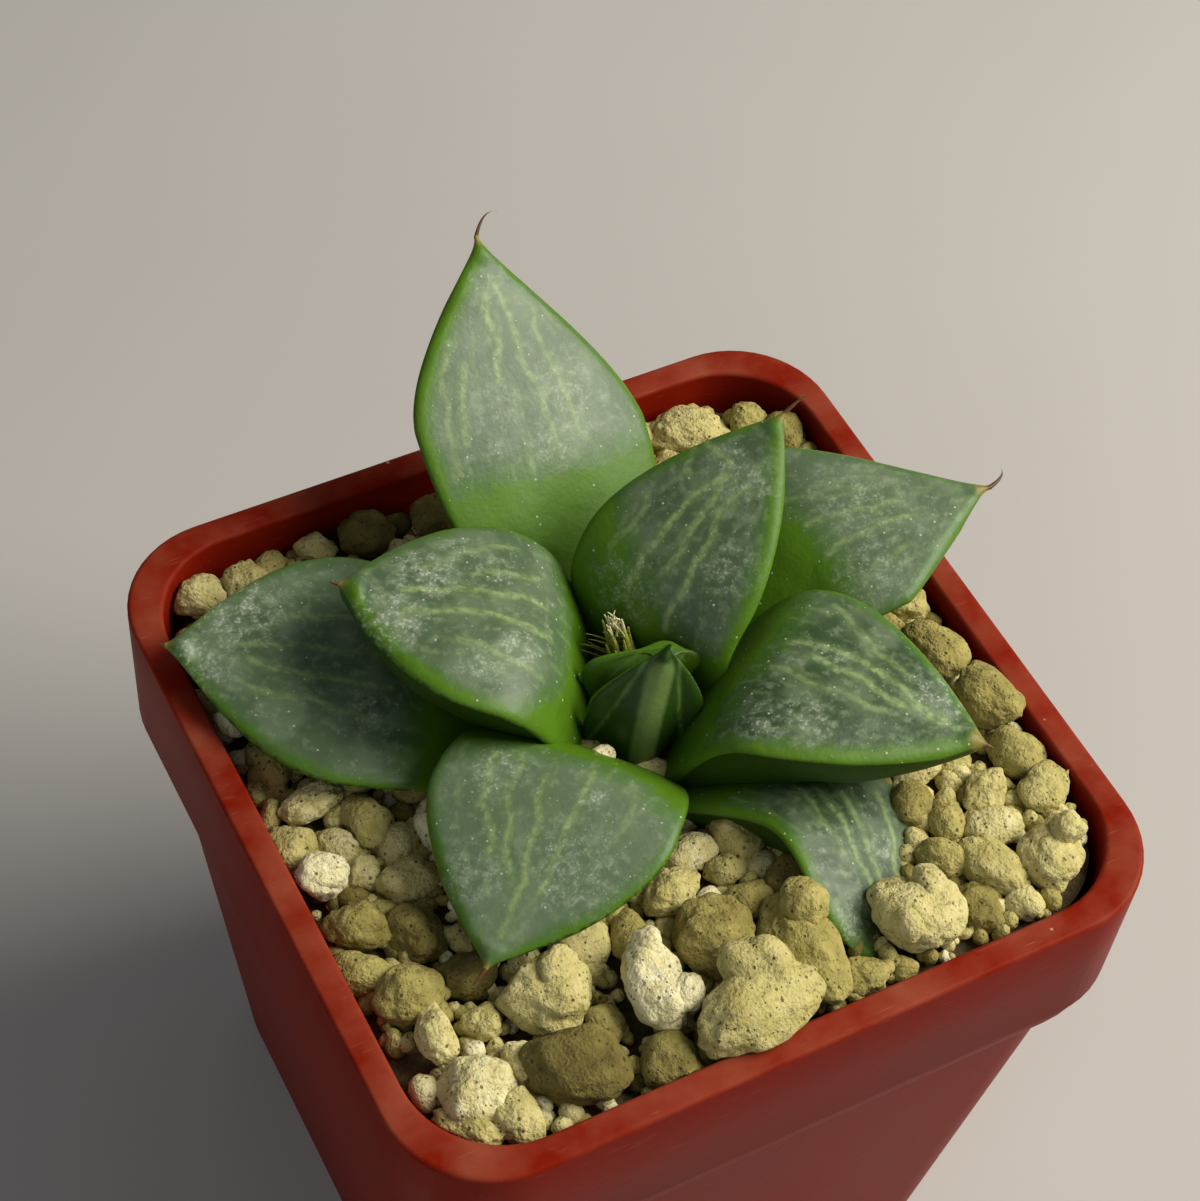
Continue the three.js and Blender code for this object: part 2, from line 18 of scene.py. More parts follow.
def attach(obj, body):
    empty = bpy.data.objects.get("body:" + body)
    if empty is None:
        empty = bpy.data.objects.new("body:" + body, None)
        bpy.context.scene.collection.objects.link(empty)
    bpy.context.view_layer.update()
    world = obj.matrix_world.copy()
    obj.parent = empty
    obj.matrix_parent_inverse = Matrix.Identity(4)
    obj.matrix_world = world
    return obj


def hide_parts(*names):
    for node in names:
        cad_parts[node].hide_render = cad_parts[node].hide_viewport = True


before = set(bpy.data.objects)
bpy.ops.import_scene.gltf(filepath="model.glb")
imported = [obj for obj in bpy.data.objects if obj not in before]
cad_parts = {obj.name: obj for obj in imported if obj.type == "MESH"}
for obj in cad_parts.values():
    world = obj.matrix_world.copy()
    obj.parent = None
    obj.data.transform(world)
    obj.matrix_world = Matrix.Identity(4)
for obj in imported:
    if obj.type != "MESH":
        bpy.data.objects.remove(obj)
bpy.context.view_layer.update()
bpy.ops.object.select_all(action="DESELECT")

MM = 0.001
print("nodes:", sorted(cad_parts))

# %% [markdown]
# Every piece ends in the same way: its place is applied to its mesh, it gets its finish, it is hung on the
# body that it rides on, and the nodes that it stands for are hidden. One small function does that. A
# second one leaves a single object selected, because an operator acts on everything that is selected.

# %% Helpers for pieces


def only(piece):
    bpy.ops.object.select_all(action="DESELECT")
    piece.select_set(True)
    bpy.context.view_layer.objects.active = piece
    return piece


def settle(piece, name, finish, slot, *nodes):
    only(piece)
    bpy.ops.object.transform_apply(location=True, rotation=True, scale=True)
    piece.name = name
    piece.data.name = name
    piece.data.materials.clear()
    piece.data.materials.append(finish)
    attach(piece, "root")
    if nodes:
        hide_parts(*nodes)
    triangles = sum(len(face.vertices) - 2 for face in piece.data.polygons)
    print(f"{name}: {triangles} triangles")
    return piece


# %% [markdown]
# Colours are written as the hex values that a paint program shows and turned linear by one function. One
# more function adds a shader node to the finish in hand, sets or links its inputs and gives back an
# output, so that a finish reads as a short recipe. Patterns are measured on the object, so their size is
# given in millimetres, and the colours of a finish are laid over each other, each by its own share.

# %% Helpers for finishes
SOFT = {"interpolation_type": "SMOOTHSTEP"}
PLUS, MINUS, TIMES = ({"operation": name} for name in ("ADD", "SUBTRACT", "MULTIPLY"))
MOST = {"operation": "MAXIMUM"}


def colour(hex_value):
    channels = [int(hex_value[i : i + 2], 16) / 255 for i in (1, 3, 5)]
    return (*[c / 12.92 if c <= 0.04045 else ((c + 0.055) / 1.055) ** 2.4 for c in channels], 1)


def feed(made, inputs):
    """Link each input that is an output of another node, and set each plain value on the node itself."""
    for name, value in (inputs if isinstance(inputs, dict) else dict(enumerate(inputs))).items():
        if isinstance(value, bpy.types.NodeSocket):
            tree.links.new(value, made.inputs[name])
        else:
            made.inputs[name].default_value = value


def node(kind, inputs, out=0, **settings):
    made = tree.nodes.new("ShaderNode" + kind)
    for name, value in settings.items():
        setattr(made, name, value)
    feed(made, inputs)
    return made.outputs[out]


def cells(size_mm, detail=2.0):
    """The inputs of a noise whose spots have this size on the object."""
    return {"Vector": place, "Scale": 1 / (size_mm * MM), "Detail": detail}


def layered(under, *layers):
    """Lay colours over the first one, each by its share, from 0 to 1."""
    for share, over in layers:
        over = colour(over) if isinstance(over, str) else over
        under = node("Mix", {0: share, 6: under, 7: over}, out=2, data_type="RGBA")
    return under


def dots(cell_mm, radius, keep):
    """Round dots, one to a cell at most, of which only a share is kept."""
    away = node("TexVoronoi", {"Vector": place, "Scale": 1 / (cell_mm * MM)}, out="Distance")
    lot = node("SeparateColor", [away.node.outputs["Color"]])
    dot = node("MapRange", [away, radius, radius * 0.5], **SOFT)
    return node("Math", [dot, node("Math", [lot, keep], operation="LESS_THAN")], **TIMES)


def new_finish(name):
    finish = bpy.data.materials.new(name)
    finish.use_nodes = True
    tree = finish.node_tree
    return finish, tree, tree.nodes["Principled BSDF"]


# %% [markdown]
# The camera stands where the photograph was taken from: above the pot's left corner, looking down at 54
# degrees through a long lens. Its place and turn come from the pot's rim, whose four straight sides give
# the perspective. Blender measures a lens against a 36 mm sensor on the image's long side.

# %% Camera
IMAGE_SIDE = 1201
FOCAL_LENGTH = 2763.87  # in image pixels
CAMERA_PLACE = Vector((-77.34, -115.20, 262.35)) * MM
CAMERA_RIGHT = Vector((0.88570, -0.45918, 0.06848))
CAMERA_DOWN = Vector((-0.32706, -0.72183, -0.60991))

bpy.ops.object.camera_add()
camera = bpy.context.object
camera.data.lens = FOCAL_LENGTH / IMAGE_SIDE * camera.data.sensor_width
backwards = CAMERA_RIGHT.cross(-CAMERA_DOWN)
turn = Matrix((CAMERA_RIGHT, -CAMERA_DOWN, backwards)).transposed()
camera.matrix_world = Matrix.Translation(CAMERA_PLACE) @ turn.to_4x4()
bpy.context.scene.camera = camera
print("lens", round(camera.data.lens, 2), "mm")

# %% [markdown]
# The studio is a pale floor and soft light. The main light is a large soft box that stands high on the
# right, as the bright right wall and the shadows to the left of the leaves show. A weak one fills the
# left side, and the world's pale grey lifts the rest.

# %% Floor and light
bpy.ops.mesh.primitive_plane_add(size=4)
floor = bpy.context.object
floor.name = "floor"
paper, tree, shader = new_finish("matt paper backdrop")
mottle = node("TexNoise", {"Scale": 40.0, "Detail": 3.0})
feed(shader, {"Base Color": layered(colour("#AEABA6"), (mottle, "#B7B5B0")), "Roughness": 0.9})
floor.data.materials.append(paper)


def soft_box(place, aim, side, power, tone):
    bpy.ops.object.light_add(type="AREA", location=place)
    box = bpy.context.object
    box.data.shape = "SQUARE"
    box.data.size = side
    box.data.energy = power
    box.data.color = colour(tone)[:3]
    box.rotation_euler = (Vector(aim) - Vector(place)).to_track_quat("-Z", "Y").to_euler()


soft_box((0.42, -0.16, 0.46), (0, 0, 0.06), 0.4, 6.0, "#FFF8EE")
soft_box((-0.5, -0.4, 0.35), (0, 0, 0.05), 0.5, 0.7, "#EEF3FF")
world = bpy.context.scene.world or bpy.data.worlds.new("World")
bpy.context.scene.world = world
world.use_nodes = True
world.node_tree.nodes["Background"].inputs["Color"].default_value = colour("#E6E8EC")
world.node_tree.nodes["Background"].inputs["Strength"].default_value = 0.2
bpy.context.scene.view_settings.view_transform = "Standard"
print("studio ready")

# %% [markdown]
# The pot is injection-moulded polypropylene, the cheap square kind that growers use: a tapered body, a
# rounded step, a straight collar and a flat rim. It could be lofted, but a mould-maker thinks of one
# rounded square that changes size with height, so a plane gets round corners and is then extruded and
# resized from row to row, up the outside, over the rim and down the inside to the floor.

# %% Pot profile
POT_HEIGHT = 68
RIM_HALF = 35
INNER_HALF = 32.4
RIM_EDGE = 0.4
COLLAR_FOOT = 53
BODY_TOP = 48
BODY_HALF = 32.65
BASE_HALF = 27.8
BASE_EDGE = 0.8
WALL = 1.8
FLOOR = 2.4
CORNER_RATIO = 0.266
CORNER_SEGMENTS = 12


def rounded_edge(half, height, radius, first, last, steps=5):
    """Rows of a quarter turn about a centre at this half side and height, from one angle to another."""
    angles = [math.radians(first + (last - first) * i / steps) for i in range(steps + 1)]
    return [(half + radius * math.cos(a), height + radius * math.sin(a)) for a in angles]


def step_rows(steps=8):
    """The step between body and collar: out quickly, then upright."""
    rows = []
    for i in range(1, steps):
        share = i / steps
        out = BODY_HALF + (RIM_HALF - 0.45 - BODY_HALF) * math.sin(share * math.pi / 2) ** 0.9
        rows.append((out, BODY_TOP + (COLLAR_FOOT - BODY_TOP) * share))
    return rows


OUTSIDE = (
    rounded_edge(BASE_HALF - BASE_EDGE, BASE_EDGE, BASE_EDGE, -90, 0)
    + [(BODY_HALF - 0.15, BODY_TOP - 1)]
    + [(BODY_HALF, BODY_TOP)]
    + step_rows()
    + [(RIM_HALF - 0.4, COLLAR_FOOT), (RIM_HALF - 0.12, COLLAR_FOOT + 0.5)]
    + rounded_edge(RIM_HALF - RIM_EDGE, POT_HEIGHT - RIM_EDGE, RIM_EDGE, 0, 90)
)
INSIDE = (
    rounded_edge(INNER_HALF + RIM_EDGE, POT_HEIGHT - RIM_EDGE, RIM_EDGE, 90, 180)
    + [(INNER_HALF - RIM_EDGE, COLLAR_FOOT + 1), (BODY_HALF - WALL, BODY_TOP - 1)]
    + [(BASE_HALF - WALL + 0.6, FLOOR + 0.8), (BASE_HALF - WALL, FLOOR)]
)
print("profile rows:", len(OUTSIDE) + len(INSIDE))

# %% Extrude the pot
first_half = OUTSIDE[0][0]
bpy.ops.mesh.primitive_plane_add(size=2 * first_half * MM)
pot = bpy.context.object
bpy.ops.object.mode_set(mode="EDIT")
bpy.ops.mesh.select_all(action="SELECT")
bpy.ops.mesh.bevel(
    offset=CORNER_RATIO * first_half * MM,
    offset_type="OFFSET",
    segments=CORNER_SEGMENTS,
    affect="VERTICES",
)
bpy.ops.mesh.select_all(action="SELECT")
half, height = OUTSIDE[0]
for next_half, next_height in OUTSIDE[1:] + INSIDE:
    bpy.ops.mesh.extrude_region_move(
        TRANSFORM_OT_translate={"value": (0, 0, (next_height - height) * MM)}
    )
    grow = next_half / half
    bpy.ops.transform.resize(value=(grow, grow, 1), center_override=(0, 0, 0))
    half, height = next_half, next_height
bpy.ops.mesh.select_all(action="SELECT")
bpy.ops.mesh.normals_make_consistent(inside=False)
bpy.ops.object.mode_set(mode="OBJECT")
print("pot height", round(pot.dimensions.z / MM, 2), "mm")

# %% [markdown]
# Water leaves through four plain holes in the base, one towards each corner. They could be left open
# while the base is made, but that takes rings of edges round each hole. A Boolean drills all four in one
# go, with straight walls, as a mould's pins leave them.

# %% Drain holes
DRAIN_DIAMETER = 7
DRAIN_OFFSET = 15

drills = []
for side_x in (-1, 1):
    for side_y in (-1, 1):
        bpy.ops.mesh.primitive_cylinder_add(
            vertices=40,
            radius=DRAIN_DIAMETER / 2 * MM,
            depth=4 * FLOOR * MM,
            location=(side_x * DRAIN_OFFSET * MM, side_y * DRAIN_OFFSET * MM, 0),
        )
        drills.append(bpy.context.object)
for drill in drills:
    drill.select_set(True)
bpy.ops.object.join()
drill = bpy.context.object
only(pot)
cut = pot.modifiers.new("drain holes", "BOOLEAN")
cut.object = drill
cut.solver = "EXACT"
bpy.ops.object.modifier_apply(modifier=cut.name)
bpy.data.objects.remove(drill)
bpy.ops.object.shade_smooth_by_angle(angle=math.radians(35))
print(len(drills), "drain holes of", DRAIN_DIAMETER, "mm")

# %% [markdown]
# Polypropylene from a polished mould has a satin skin, slightly see-through to light at thin edges. The
# flat top of the rim is painted paler in patches, a painted sheen of the light from above, and the skin
# picks up hairline scratches and pale dust. The scratches are noise drawn out along one direction, and the
# dust is small cells, of which few are kept.
# The index is set well below polypropylene's 1.49, because the worn, dusty walls mirror very little.

# %% Pot finish
CLOUDS_PER_METRE = 60
# size of the patches in the painted sheen on the rim's top
RIM_SHEEN_PATCHES_PER_METRE = 180
DUST_PER_METRE = 450
GRAIN_PER_METRE = 900
DUST_KEPT = 0.93

plastic, tree, shader = new_finish("injection-moulded polypropylene")
place = node("TexCoord", {}, out="Object")
cloud = node("TexNoise", {"Vector": place, "Scale": CLOUDS_PER_METRE, "Detail": 4.0})
drawn = node("Mapping", {"Vector": place, "Rotation": (0.3, 0.1, 0.5), "Scale": (300, 9000, 9000)})
hair = node("TexNoise", {"Vector": drawn, "Scale": 1.0, "Detail": 1.0})
scratch = node("Math", [node("MapRange", [hair, 0.72, 0.8]), 0.25], **TIMES)
dust = node("TexVoronoi", {"Vector": place, "Scale": DUST_PER_METRE}, out="Distance")
lot = node("SeparateColor", [dust.node.outputs["Color"]])
kept = node("Math", [lot, DUST_KEPT], operation="GREATER_THAN")
specks = node("Math", [node("MapRange", [dust, 0.09, 0.05]), kept], **TIMES)
up = node("SeparateXYZ", [place], out=2)
# the rim's flat top, over which a patchy painted sheen is laid
rim_top_band = node("MapRange", [up, (POT_HEIGHT - 0.5) * MM, POT_HEIGHT * MM])
patchy = node("TexNoise", {"Vector": place, "Scale": RIM_SHEEN_PATCHES_PER_METRE, "Detail": 4.0})
painted_rim_sheen = node("Math", [rim_top_band, node("MapRange", [patchy, 0.35, 0.75, 0, 0.42])], **TIMES)
skin = layered(
    colour("#6E1204"),
    (cloud, "#821C08"),
    # painted sheen on the rim's flat top
    (painted_rim_sheen, "#A8684C"),
    (node("Math", [scratch, specks], **MOST), "#C79C84"),
)
pores = node("TexNoise", {"Vector": place, "Scale": GRAIN_PER_METRE, "Detail": 2.0})
feed(shader, {
    "Base Color": skin,
    "Roughness": node("MapRange", [cloud, 0, 1, 0.36, 0.46]),
    "Normal": node("Bump", {"Height": pores, "Strength": 0.12, "Distance": 0.2 * MM}),
    "Subsurface Weight": 0.08,
    "Subsurface Radius": (0.002, 0.0006, 0.0003),
    "Subsurface Scale": 1.0,
    "IOR": 1.16,
    "Specular IOR Level": 0.3,
})
settle(pot, "pot_shell", plastic, "pot_plastic", "pot")

# %% [markdown]
# Each leaf hangs on two smooth lines: one along the middle of its flat top, the window, and one along the
# keel below. Both run from the stem out through the shoulder, where the leaf bends, to the tip. They are
# conics, which keep a short bend between two nearly straight stretches, as on the real leaf. The numbers
# repeat those of the frame, in millimetres from the plant's centre at rim height: outwards, to the left,
# upwards. One is added here: swell, the share by which a fleshy root is wider than the frame's.

# %% Leaf facts
PLANT_CENTRE = Vector((2, 2.5, POT_HEIGHT))
ROOT_DEPTH = -6
ROOT_THICKNESS = 5.5
ROOT_WIDTH = 0.62
FLARE = 1.3
BEND = 3
CROWN = 0.05
KEEL_POWER = 1.45
MARGIN_DROOP = 0.06
AWN_RADIUS = 0.34
BRISTLE_RADIUS = 0.22


def leaf_facts(heading, root, roll, width, depth, widest, shape, shoulder, tip, awn, **more):
    facts = dict(heading=heading, root=root, roll=roll, width=width, depth=depth, widest=widest)
    facts.update(shape=shape, shoulder=shoulder, tip=tip, awn=awn)
    facts.update(root_width=ROOT_WIDTH, root_depth=ROOT_DEPTH, root_thickness=ROOT_THICKNESS)
    facts.update(keel_power=KEEL_POWER, swell=0)
    facts.update(more)
    return facts


LEAVES = {
    "leaf_6": leaf_facts(
        222, 4, 2, 21.2, 7.5, 0.18, (1.75, 1.1), (12.2, -1.2, 7.2), (31.4, -1.2, 1.2), (1.5, -0.5, -0.4)
    ),
    "leaf_8": leaf_facts(
        147, 2.2, 3, 20.2, 13, 0.18, (1.9, 1), (7.4, 1.3, 10.4), (25.6, 0.5, 10.6), (0.7, 0.2, 0.5),
        root_thickness=8, keel_power=3.4,
    ),
    "leaf_4": leaf_facts(
        310, 3.6, -2, 19.4, 14, 0.1, (1.65, 1), (9.2, 2, 10.7), (30.3, 2.4, 7.2), (0.6, 0.1, -0.2),
        root_width=0.85, root_thickness=9, keel_power=3.4,
    ),
    "leaf_2": leaf_facts(
        26, 3.4, 2, 16.9, 8, 0.1, (1.71, 1.03), (0.8, 1.9, 8.9), (20.3, 0.7, 17.8), (2.3, -0.9, 1.0),
        root_width=0.88,
    ),
    "leaf_1": leaf_facts(
        85, 4, 15, 22.9, 9, 0.18, (1.56, 1.2), (18.4, 1, 8.9), (36.6, 1.4, 20.8), (1.2, -2.4, 1.3)
    ),
    "leaf_3": leaf_facts(
        6, 4, 3, 19.6, 8, 0.18, (1.2, 1.16), (19.6, 3.5, 7.7), (36.4, -2, 7.6), (2.1, 1.2, 0.3)
    ),
    "leaf_7": leaf_facts(
        154, 4, -4, 23, 5.5, 0.21, (1.86, 1.1), (19.8, 0, 2.3), (40.3, -1.2, 3.4), (0.5, 0, 0.2)
    ),
    "leaf_5": leaf_facts(
        288, 4, -16, 14.4, 10.5, 0.22, (2, 0.95), (19.2, 5.4, 3.1), (34, -2.6, -3.8), (0.4, -0.1, -0.3),
        root_width=0.9, root_thickness=9, keel_power=3.4, swell=0.3,
    ),
    "leaf_9": leaf_facts(
        243, 3.5, 0, 9.6, 3, 0.1, (1.5, 1.05), (4.2, 0.4, 3.5), (2.5, 2.1, 9.7), (0, 0.2, 0.5),
        root_depth=-3.6, root_thickness=4.2, root_width=1,
    ),
    "leaf_10": leaf_facts(
        246, 0.3, 0, 9.8, 2, 0.3, (2.2, 0.9), (0.7, -0.4, 4.6), (0.3, 2.4, 6.6), (0, 0.2, 0.5),
        root_depth=-2, root_thickness=2.4,
    ),
}
print(len(LEAVES), "leaves")

# %% [markdown]
# The two lines of a leaf are worked out from those numbers. A Bezier curve could be drawn instead, but the
# skin needs to ask for a place, a width and a thickness at any share of the way, so the lines are kept as
# small functions. The leaf is widest a little past its bend, and runs to a point from there.

# %% Leaf lines
CURVE_STEPS = 80


def conic(first, towards, last):
    """A function of the share of its length, and the share at which it bends."""
    t = np.linspace(0, 1, CURVE_STEPS + 1)[:, None]
    pulls = (1 - t) ** 2, 2 * BEND * t * (1 - t), t**2
    points = (pulls[0] * first + pulls[1] * towards + pulls[2] * last) / sum(pulls)
    steps = np.linalg.norm(np.diff(points, axis=0), axis=1)
    lengths = np.concatenate([[0], np.cumsum(steps)])

    def at(share):
        run = np.clip(share, 0, 1) * lengths[-1]
        return np.stack([np.interp(run, lengths, points[:, k]) for k in range(3)], axis=-1)

    return at, lengths[CURVE_STEPS // 2] / lengths[-1], lengths[-1]


def leaf_lines(leaf):
    bearing = math.radians(leaf["heading"])
    out = np.array([math.cos(bearing), math.sin(bearing), 0])
    side = np.array([-math.sin(bearing), math.cos(bearing), 0])
    up = np.array([0, 0, 1.0])

    def place(outwards, left, upwards):
        return np.array(PLANT_CENTRE) + out * outwards + side * left + up * upwards

    shoulder, tip = place(*leaf["shoulder"]), place(*leaf["tip"])
    root_depth = leaf["root_depth"]
    face, bend, length = conic(place(leaf["root"], 0, root_depth), shoulder, tip)
    rise = np.array([leaf["tip"][0] - leaf["root"], leaf["tip"][2] - root_depth])
    rise /= np.linalg.norm(rise)
    under = out * rise[1] - up * rise[0]
    back = place(leaf["root"] + leaf["root_thickness"], 0, root_depth)
    keel, _, _ = conic(back, shoulder + under * leaf["depth"], tip + under * 2 * AWN_RADIUS)
    widest = bend + leaf["widest"] * (1 - bend)
    fullness, point = leaf["shape"]

    def half(share):
        base = leaf["root_width"]
        below = base + (1 - base) * np.sin(np.minimum(share / widest, 1) * math.pi / 2) ** FLARE
        above = (1 - (np.maximum(share - widest, 0) / (1 - widest)) ** fullness) ** point
        return leaf["width"] / 2 * below * above

    roll = math.radians(leaf["roll"])
    across = side * math.cos(roll) + up * math.sin(roll)
    awn = out * leaf["awn"][0] + side * leaf["awn"][1] + up * leaf["awn"][2]
    lines = dict(face=face, keel=keel, half=half, across=across, under=under, awn=awn, tip=tip)
    return lines | dict(length=length, swell=leaf["swell"])


print("the front leaf is", round(float(leaf_lines(LEAVES["leaf_6"])["length"]), 1), "mm long")

# %% [markdown]
# The veins, the lower edge of each window and its frosted patches differ from leaf to leaf, so each leaf
# gets its own short lists. A vein is a chain of places on the window: how far across, from -1 at the
# right margin to 1 at the left, and how far along, from 0 at the stem to 1 at the tip. The two small
# leaves in the middle have no window yet, which is said by a window that starts past their tip.

# %% Marks on the leaves
# window: how far along it starts, at the left margin, halfway, the middle, halfway and the right margin
# margins: the green left and right of it in millimetres; dry: length of the brown tip in millimetres
# tone: how pale the window is, from 0 to 1; frost: across, along, radius in mm, strength
# veins: strength first, then the chain
# underneath, pale stripes and painted highlight lines along the margins: half width in mm first, then the
# chain
# shade: how deep the painted shade on the underside is, where it isn't 1
MARKS = {
    "leaf_6": dict(
        window=(0.46, 0.38, 0.38, 0.41, 0.46), margins=(0.2, 0.2), dry=0.2, tone=0.75,
        frost=[(0.4, 0.7, 5, 0.5), (-0.5, 0.52, 3, 0.7), (0.3, 0.53, 2, 0.8), (-0.6, 0.8, 3, 0.5)],
        veins=[
            (0.5, (0.57, 0.47), (0.6, 0.57)),
            (0.9, (0.18, 0.44), (0.19, 0.52), (0.19, 0.6), (0.22, 0.7), (0.27, 0.79)),
            (1, (-0.14, 0.5), (-0.1, 0.58), (-0.04, 0.68), (0.02, 0.78), (0.08, 0.92)),
            (0.9, (-0.43, 0.46), (-0.36, 0.58), (-0.27, 0.68), (-0.18, 0.77)),
            (0.9, (-0.62, 0.47), (-0.53, 0.6), (-0.43, 0.69), (-0.4, 0.74)),
        ],
    ),
    "leaf_8": dict(
        window=(0.5, 0.35, 0.34, 0.37, 0.42), margins=(0.9, 0.2), dry=0.2, tone=0.4,
        frost=[(-0.3, 0.8, 3.4, 1), (0.3, 0.54, 2.6, 0.8), (0.6, 0.62, 2.5, 0.6), (0.5, 0.85, 4, 0.8),
               (-0.4, 0.62, 2.5, 0.7), (-0.6, 0.72, 2, 0.7)],
        veins=[
            (0.7, (0.5, 0.44), (0.47, 0.5), (0.46, 0.6), (0.4, 0.69)),
            (1, (0.06, 0.44), (0.05, 0.6), (0.1, 0.7), (0.2, 0.78), (0.3, 0.83), (0.62, 0.84)),
            (1, (-0.24, 0.47), (-0.2, 0.6), (-0.16, 0.7), (-0.1, 0.8), (-0.04, 0.84)),
            (0.7, (-0.55, 0.5), (-0.45, 0.58), (-0.38, 0.68)),
            (0.6, (-0.77, 0.57), (-0.7, 0.64), (-0.6, 0.72), (-0.48, 0.8)),
        ],
    ),
    "leaf_4": dict(
        window=(0.43, 0.46, 0.43, 0.38, 0.37), margins=(0.2, 0.8), dry=1.0, tone=0.05,
        frost=[(0.7, 0.88, 4, 0.7), (-0.6, 0.6, 3, 0.6), (-0.7, 0.5, 2.5, 0.7), (0.2, 0.6, 2, 0.4)],
        veins=[
            (0.6, (0.78, 0.54), (0.65, 0.62), (0.55, 0.7), (0.44, 0.77)),
            (1, (0.2, 0.49), (0.25, 0.56), (0.3, 0.66), (0.25, 0.75), (0.14, 0.83), (0, 0.93)),
            (0.9, (0.12, 0.56), (0.05, 0.68), (-0.02, 0.76), (-0.02, 0.84), (-0.05, 0.9)),
            (0.6, (-0.14, 0.48), (-0.18, 0.56), (-0.2, 0.68), (-0.26, 0.78)),
        ],
    ),
    "leaf_2": dict(
        window=(0.58, 0.5, 0.42, 0.34, 0.38), margins=(0.3, 0.9), dry=0.4, tone=0.3,
        frost=[(-0.3, 0.8, 3, 0.6), (0.3, 0.83, 2, 0.8), (-0.6, 0.6, 3, 0.5), (0.3, 0.4, 4, 0.5)],
        veins=[
            (0.7, (0.62, 0.48), (0.58, 0.56), (0.62, 0.62), (0.78, 0.645)),
            (1, (0.25, 0.4), (0.26, 0.55), (0.27, 0.66), (0.24, 0.73), (0.18, 0.79)),
            (1, (0, 0.5), (-0.03, 0.62), (0.03, 0.7), (0.05, 0.79)),
            (0.9, (-0.32, 0.38), (-0.28, 0.5), (-0.25, 0.6), (-0.2, 0.68), (-0.24, 0.76), (-0.4, 0.8)),
            (0.8, (0.5, 0.74), (0.7, 0.755), (0.95, 0.8)),
            (0.8, (0.95, 0.83), (0.5, 0.83), (0.2, 0.83), (0.05, 0.8)),
        ],
    ),
    "leaf_1": dict(
        window=(0.44, 0.47, 0.485, 0.5, 0.53), margins=(1.2, 0.4), dry=0.6, tone=0.6,
        frost=[(-0.4, 0.66, 5, 0.6), (0.3, 0.64, 3.4, 0.4), (-0.1, 0.55, 3, 0.5), (0.2, 0.9, 1.6, 0.7)],
        veins=[
            (0.6, (0.74, 0.5), (0.75, 0.6), (0.79, 0.7), (0.8, 0.78)),
            (0.8, (0.63, 0.56), (0.6, 0.66), (0.57, 0.73)),
            (0.5, (0.15, 0.5), (0.14, 0.66)),
            (1, (0.2, 0.69), (0.16, 0.76), (0.22, 0.81), (0.26, 0.87)),
            (0.8, (-0.12, 0.54), (-0.13, 0.66), (-0.1, 0.72), (-0.08, 0.78), (-0.05, 0.9)),
            (0.7, (-0.38, 0.56), (-0.37, 0.7), (-0.37, 0.77), (-0.5, 0.81), (-0.62, 0.84)),
        ],
    ),
    "leaf_3": dict(
        window=(0.5, 0.52, 0.54, 0.53, 0.5), margins=(0.1, 0.1), dry=1.2, tone=0.6,
        frost=[(-0.6, 0.6, 4, 0.5), (0.1, 0.7, 6, 0.4)],
        veins=[
            (0.7, (0.08, 0.55), (0.05, 0.65), (0.03, 0.78)),
            (0.7, (-0.25, 0.55), (-0.25, 0.65), (-0.22, 0.71), (-0.3, 0.78)),
            (0.4, (0.42, 0.55), (0.3, 0.72)),
            (0.4, (-0.7, 0.57), (-0.6, 0.7)),
        ],
    ),
    "leaf_7": dict(
        window=(0.42, 0.42, 0.42, 0.42, 0.42), margins=(0.3, 0.1), dry=0.3, tone=0.4,
        frost=[(-0.65, 0.84, 5, 0.9), (0.42, 0.54, 2.5, 0.7), (0.5, 0.92, 4, 0.6)],
        veins=[
            (0.7, (0.47, 0.52), (0.45, 0.6), (0.42, 0.67), (0.43, 0.75), (0.5, 0.81)),
            (0.8, (0.18, 0.5), (0.17, 0.66), (0.17, 0.73), (0.14, 0.82)),
            (0.6, (-0.1, 0.5), (-0.1, 0.72), (-0.08, 0.86)),
            (0.5, (-0.42, 0.5), (-0.4, 0.7), (-0.36, 0.82)),
        ],
    ),
    "leaf_5": dict(
        window=(0.5, 0.45, 0.4, 0.36, 0.34), margins=(0.1, 0.7), dry=0.3, tone=0,
        frost=[(-0.7, 0.8, 2.6, 0.7), (0.4, 0.72, 2, 0.6), (-0.7, 0.65, 2, 0.5)],
        veins=[
            (0.8, (0.6, 0.58), (0.62, 0.7), (0.5, 0.82)),
            (0.8, (0.12, 0.54), (0.1, 0.68), (0.15, 0.84)),
            (0.9, (-0.1, 0.48), (-0.15, 0.62), (-0.1, 0.76)),
            (0.7, (-0.35, 0.45), (-0.38, 0.56), (-0.3, 0.68)),
        ],
    ),
    "leaf_9": dict(
        window=(2, 2, 2, 2, 2), margins=(0.5, 0.5), dry=-9, tone=0, frost=[(-0.3, 0.5, 2, 0.3)],
        # deeper painted shade on leaf 9's underside
        veins=[(0.6, (0.3, 0.3), (0.25, 0.7))], shade=1.3,
        # the middle stripe is pale; the two lines along the margins are painted highlights
        stripes_and_margin_highlights=[(1.1, (0.1, 0.1), (0.06, 0.5), (0.02, 0.84)), (0.05, (-0.97, 0.1), (-0.97, 0.9)),
                 (0.05, (0.97, 0.1), (0.97, 0.9))],
    ),
    "leaf_10": dict(
        # lighter painted shade on leaf 10's underside
        window=(2, 2, 2, 2, 2), margins=(0.5, 0.5), dry=-9, tone=0, shade=0.55, frost=[],
        veins=[(0.5, (-0.9, 0.4), (-0.8, 0.8))],
        # both lines along the margins are painted highlights
        stripes_and_margin_highlights=[(0.05, (-0.97, 0.1), (-0.97, 0.95)), (0.05, (0.97, 0.1), (0.97, 0.95))],
    ),
}
print(sum(len(marks["veins"]) for marks in MARKS.values()), "veins")

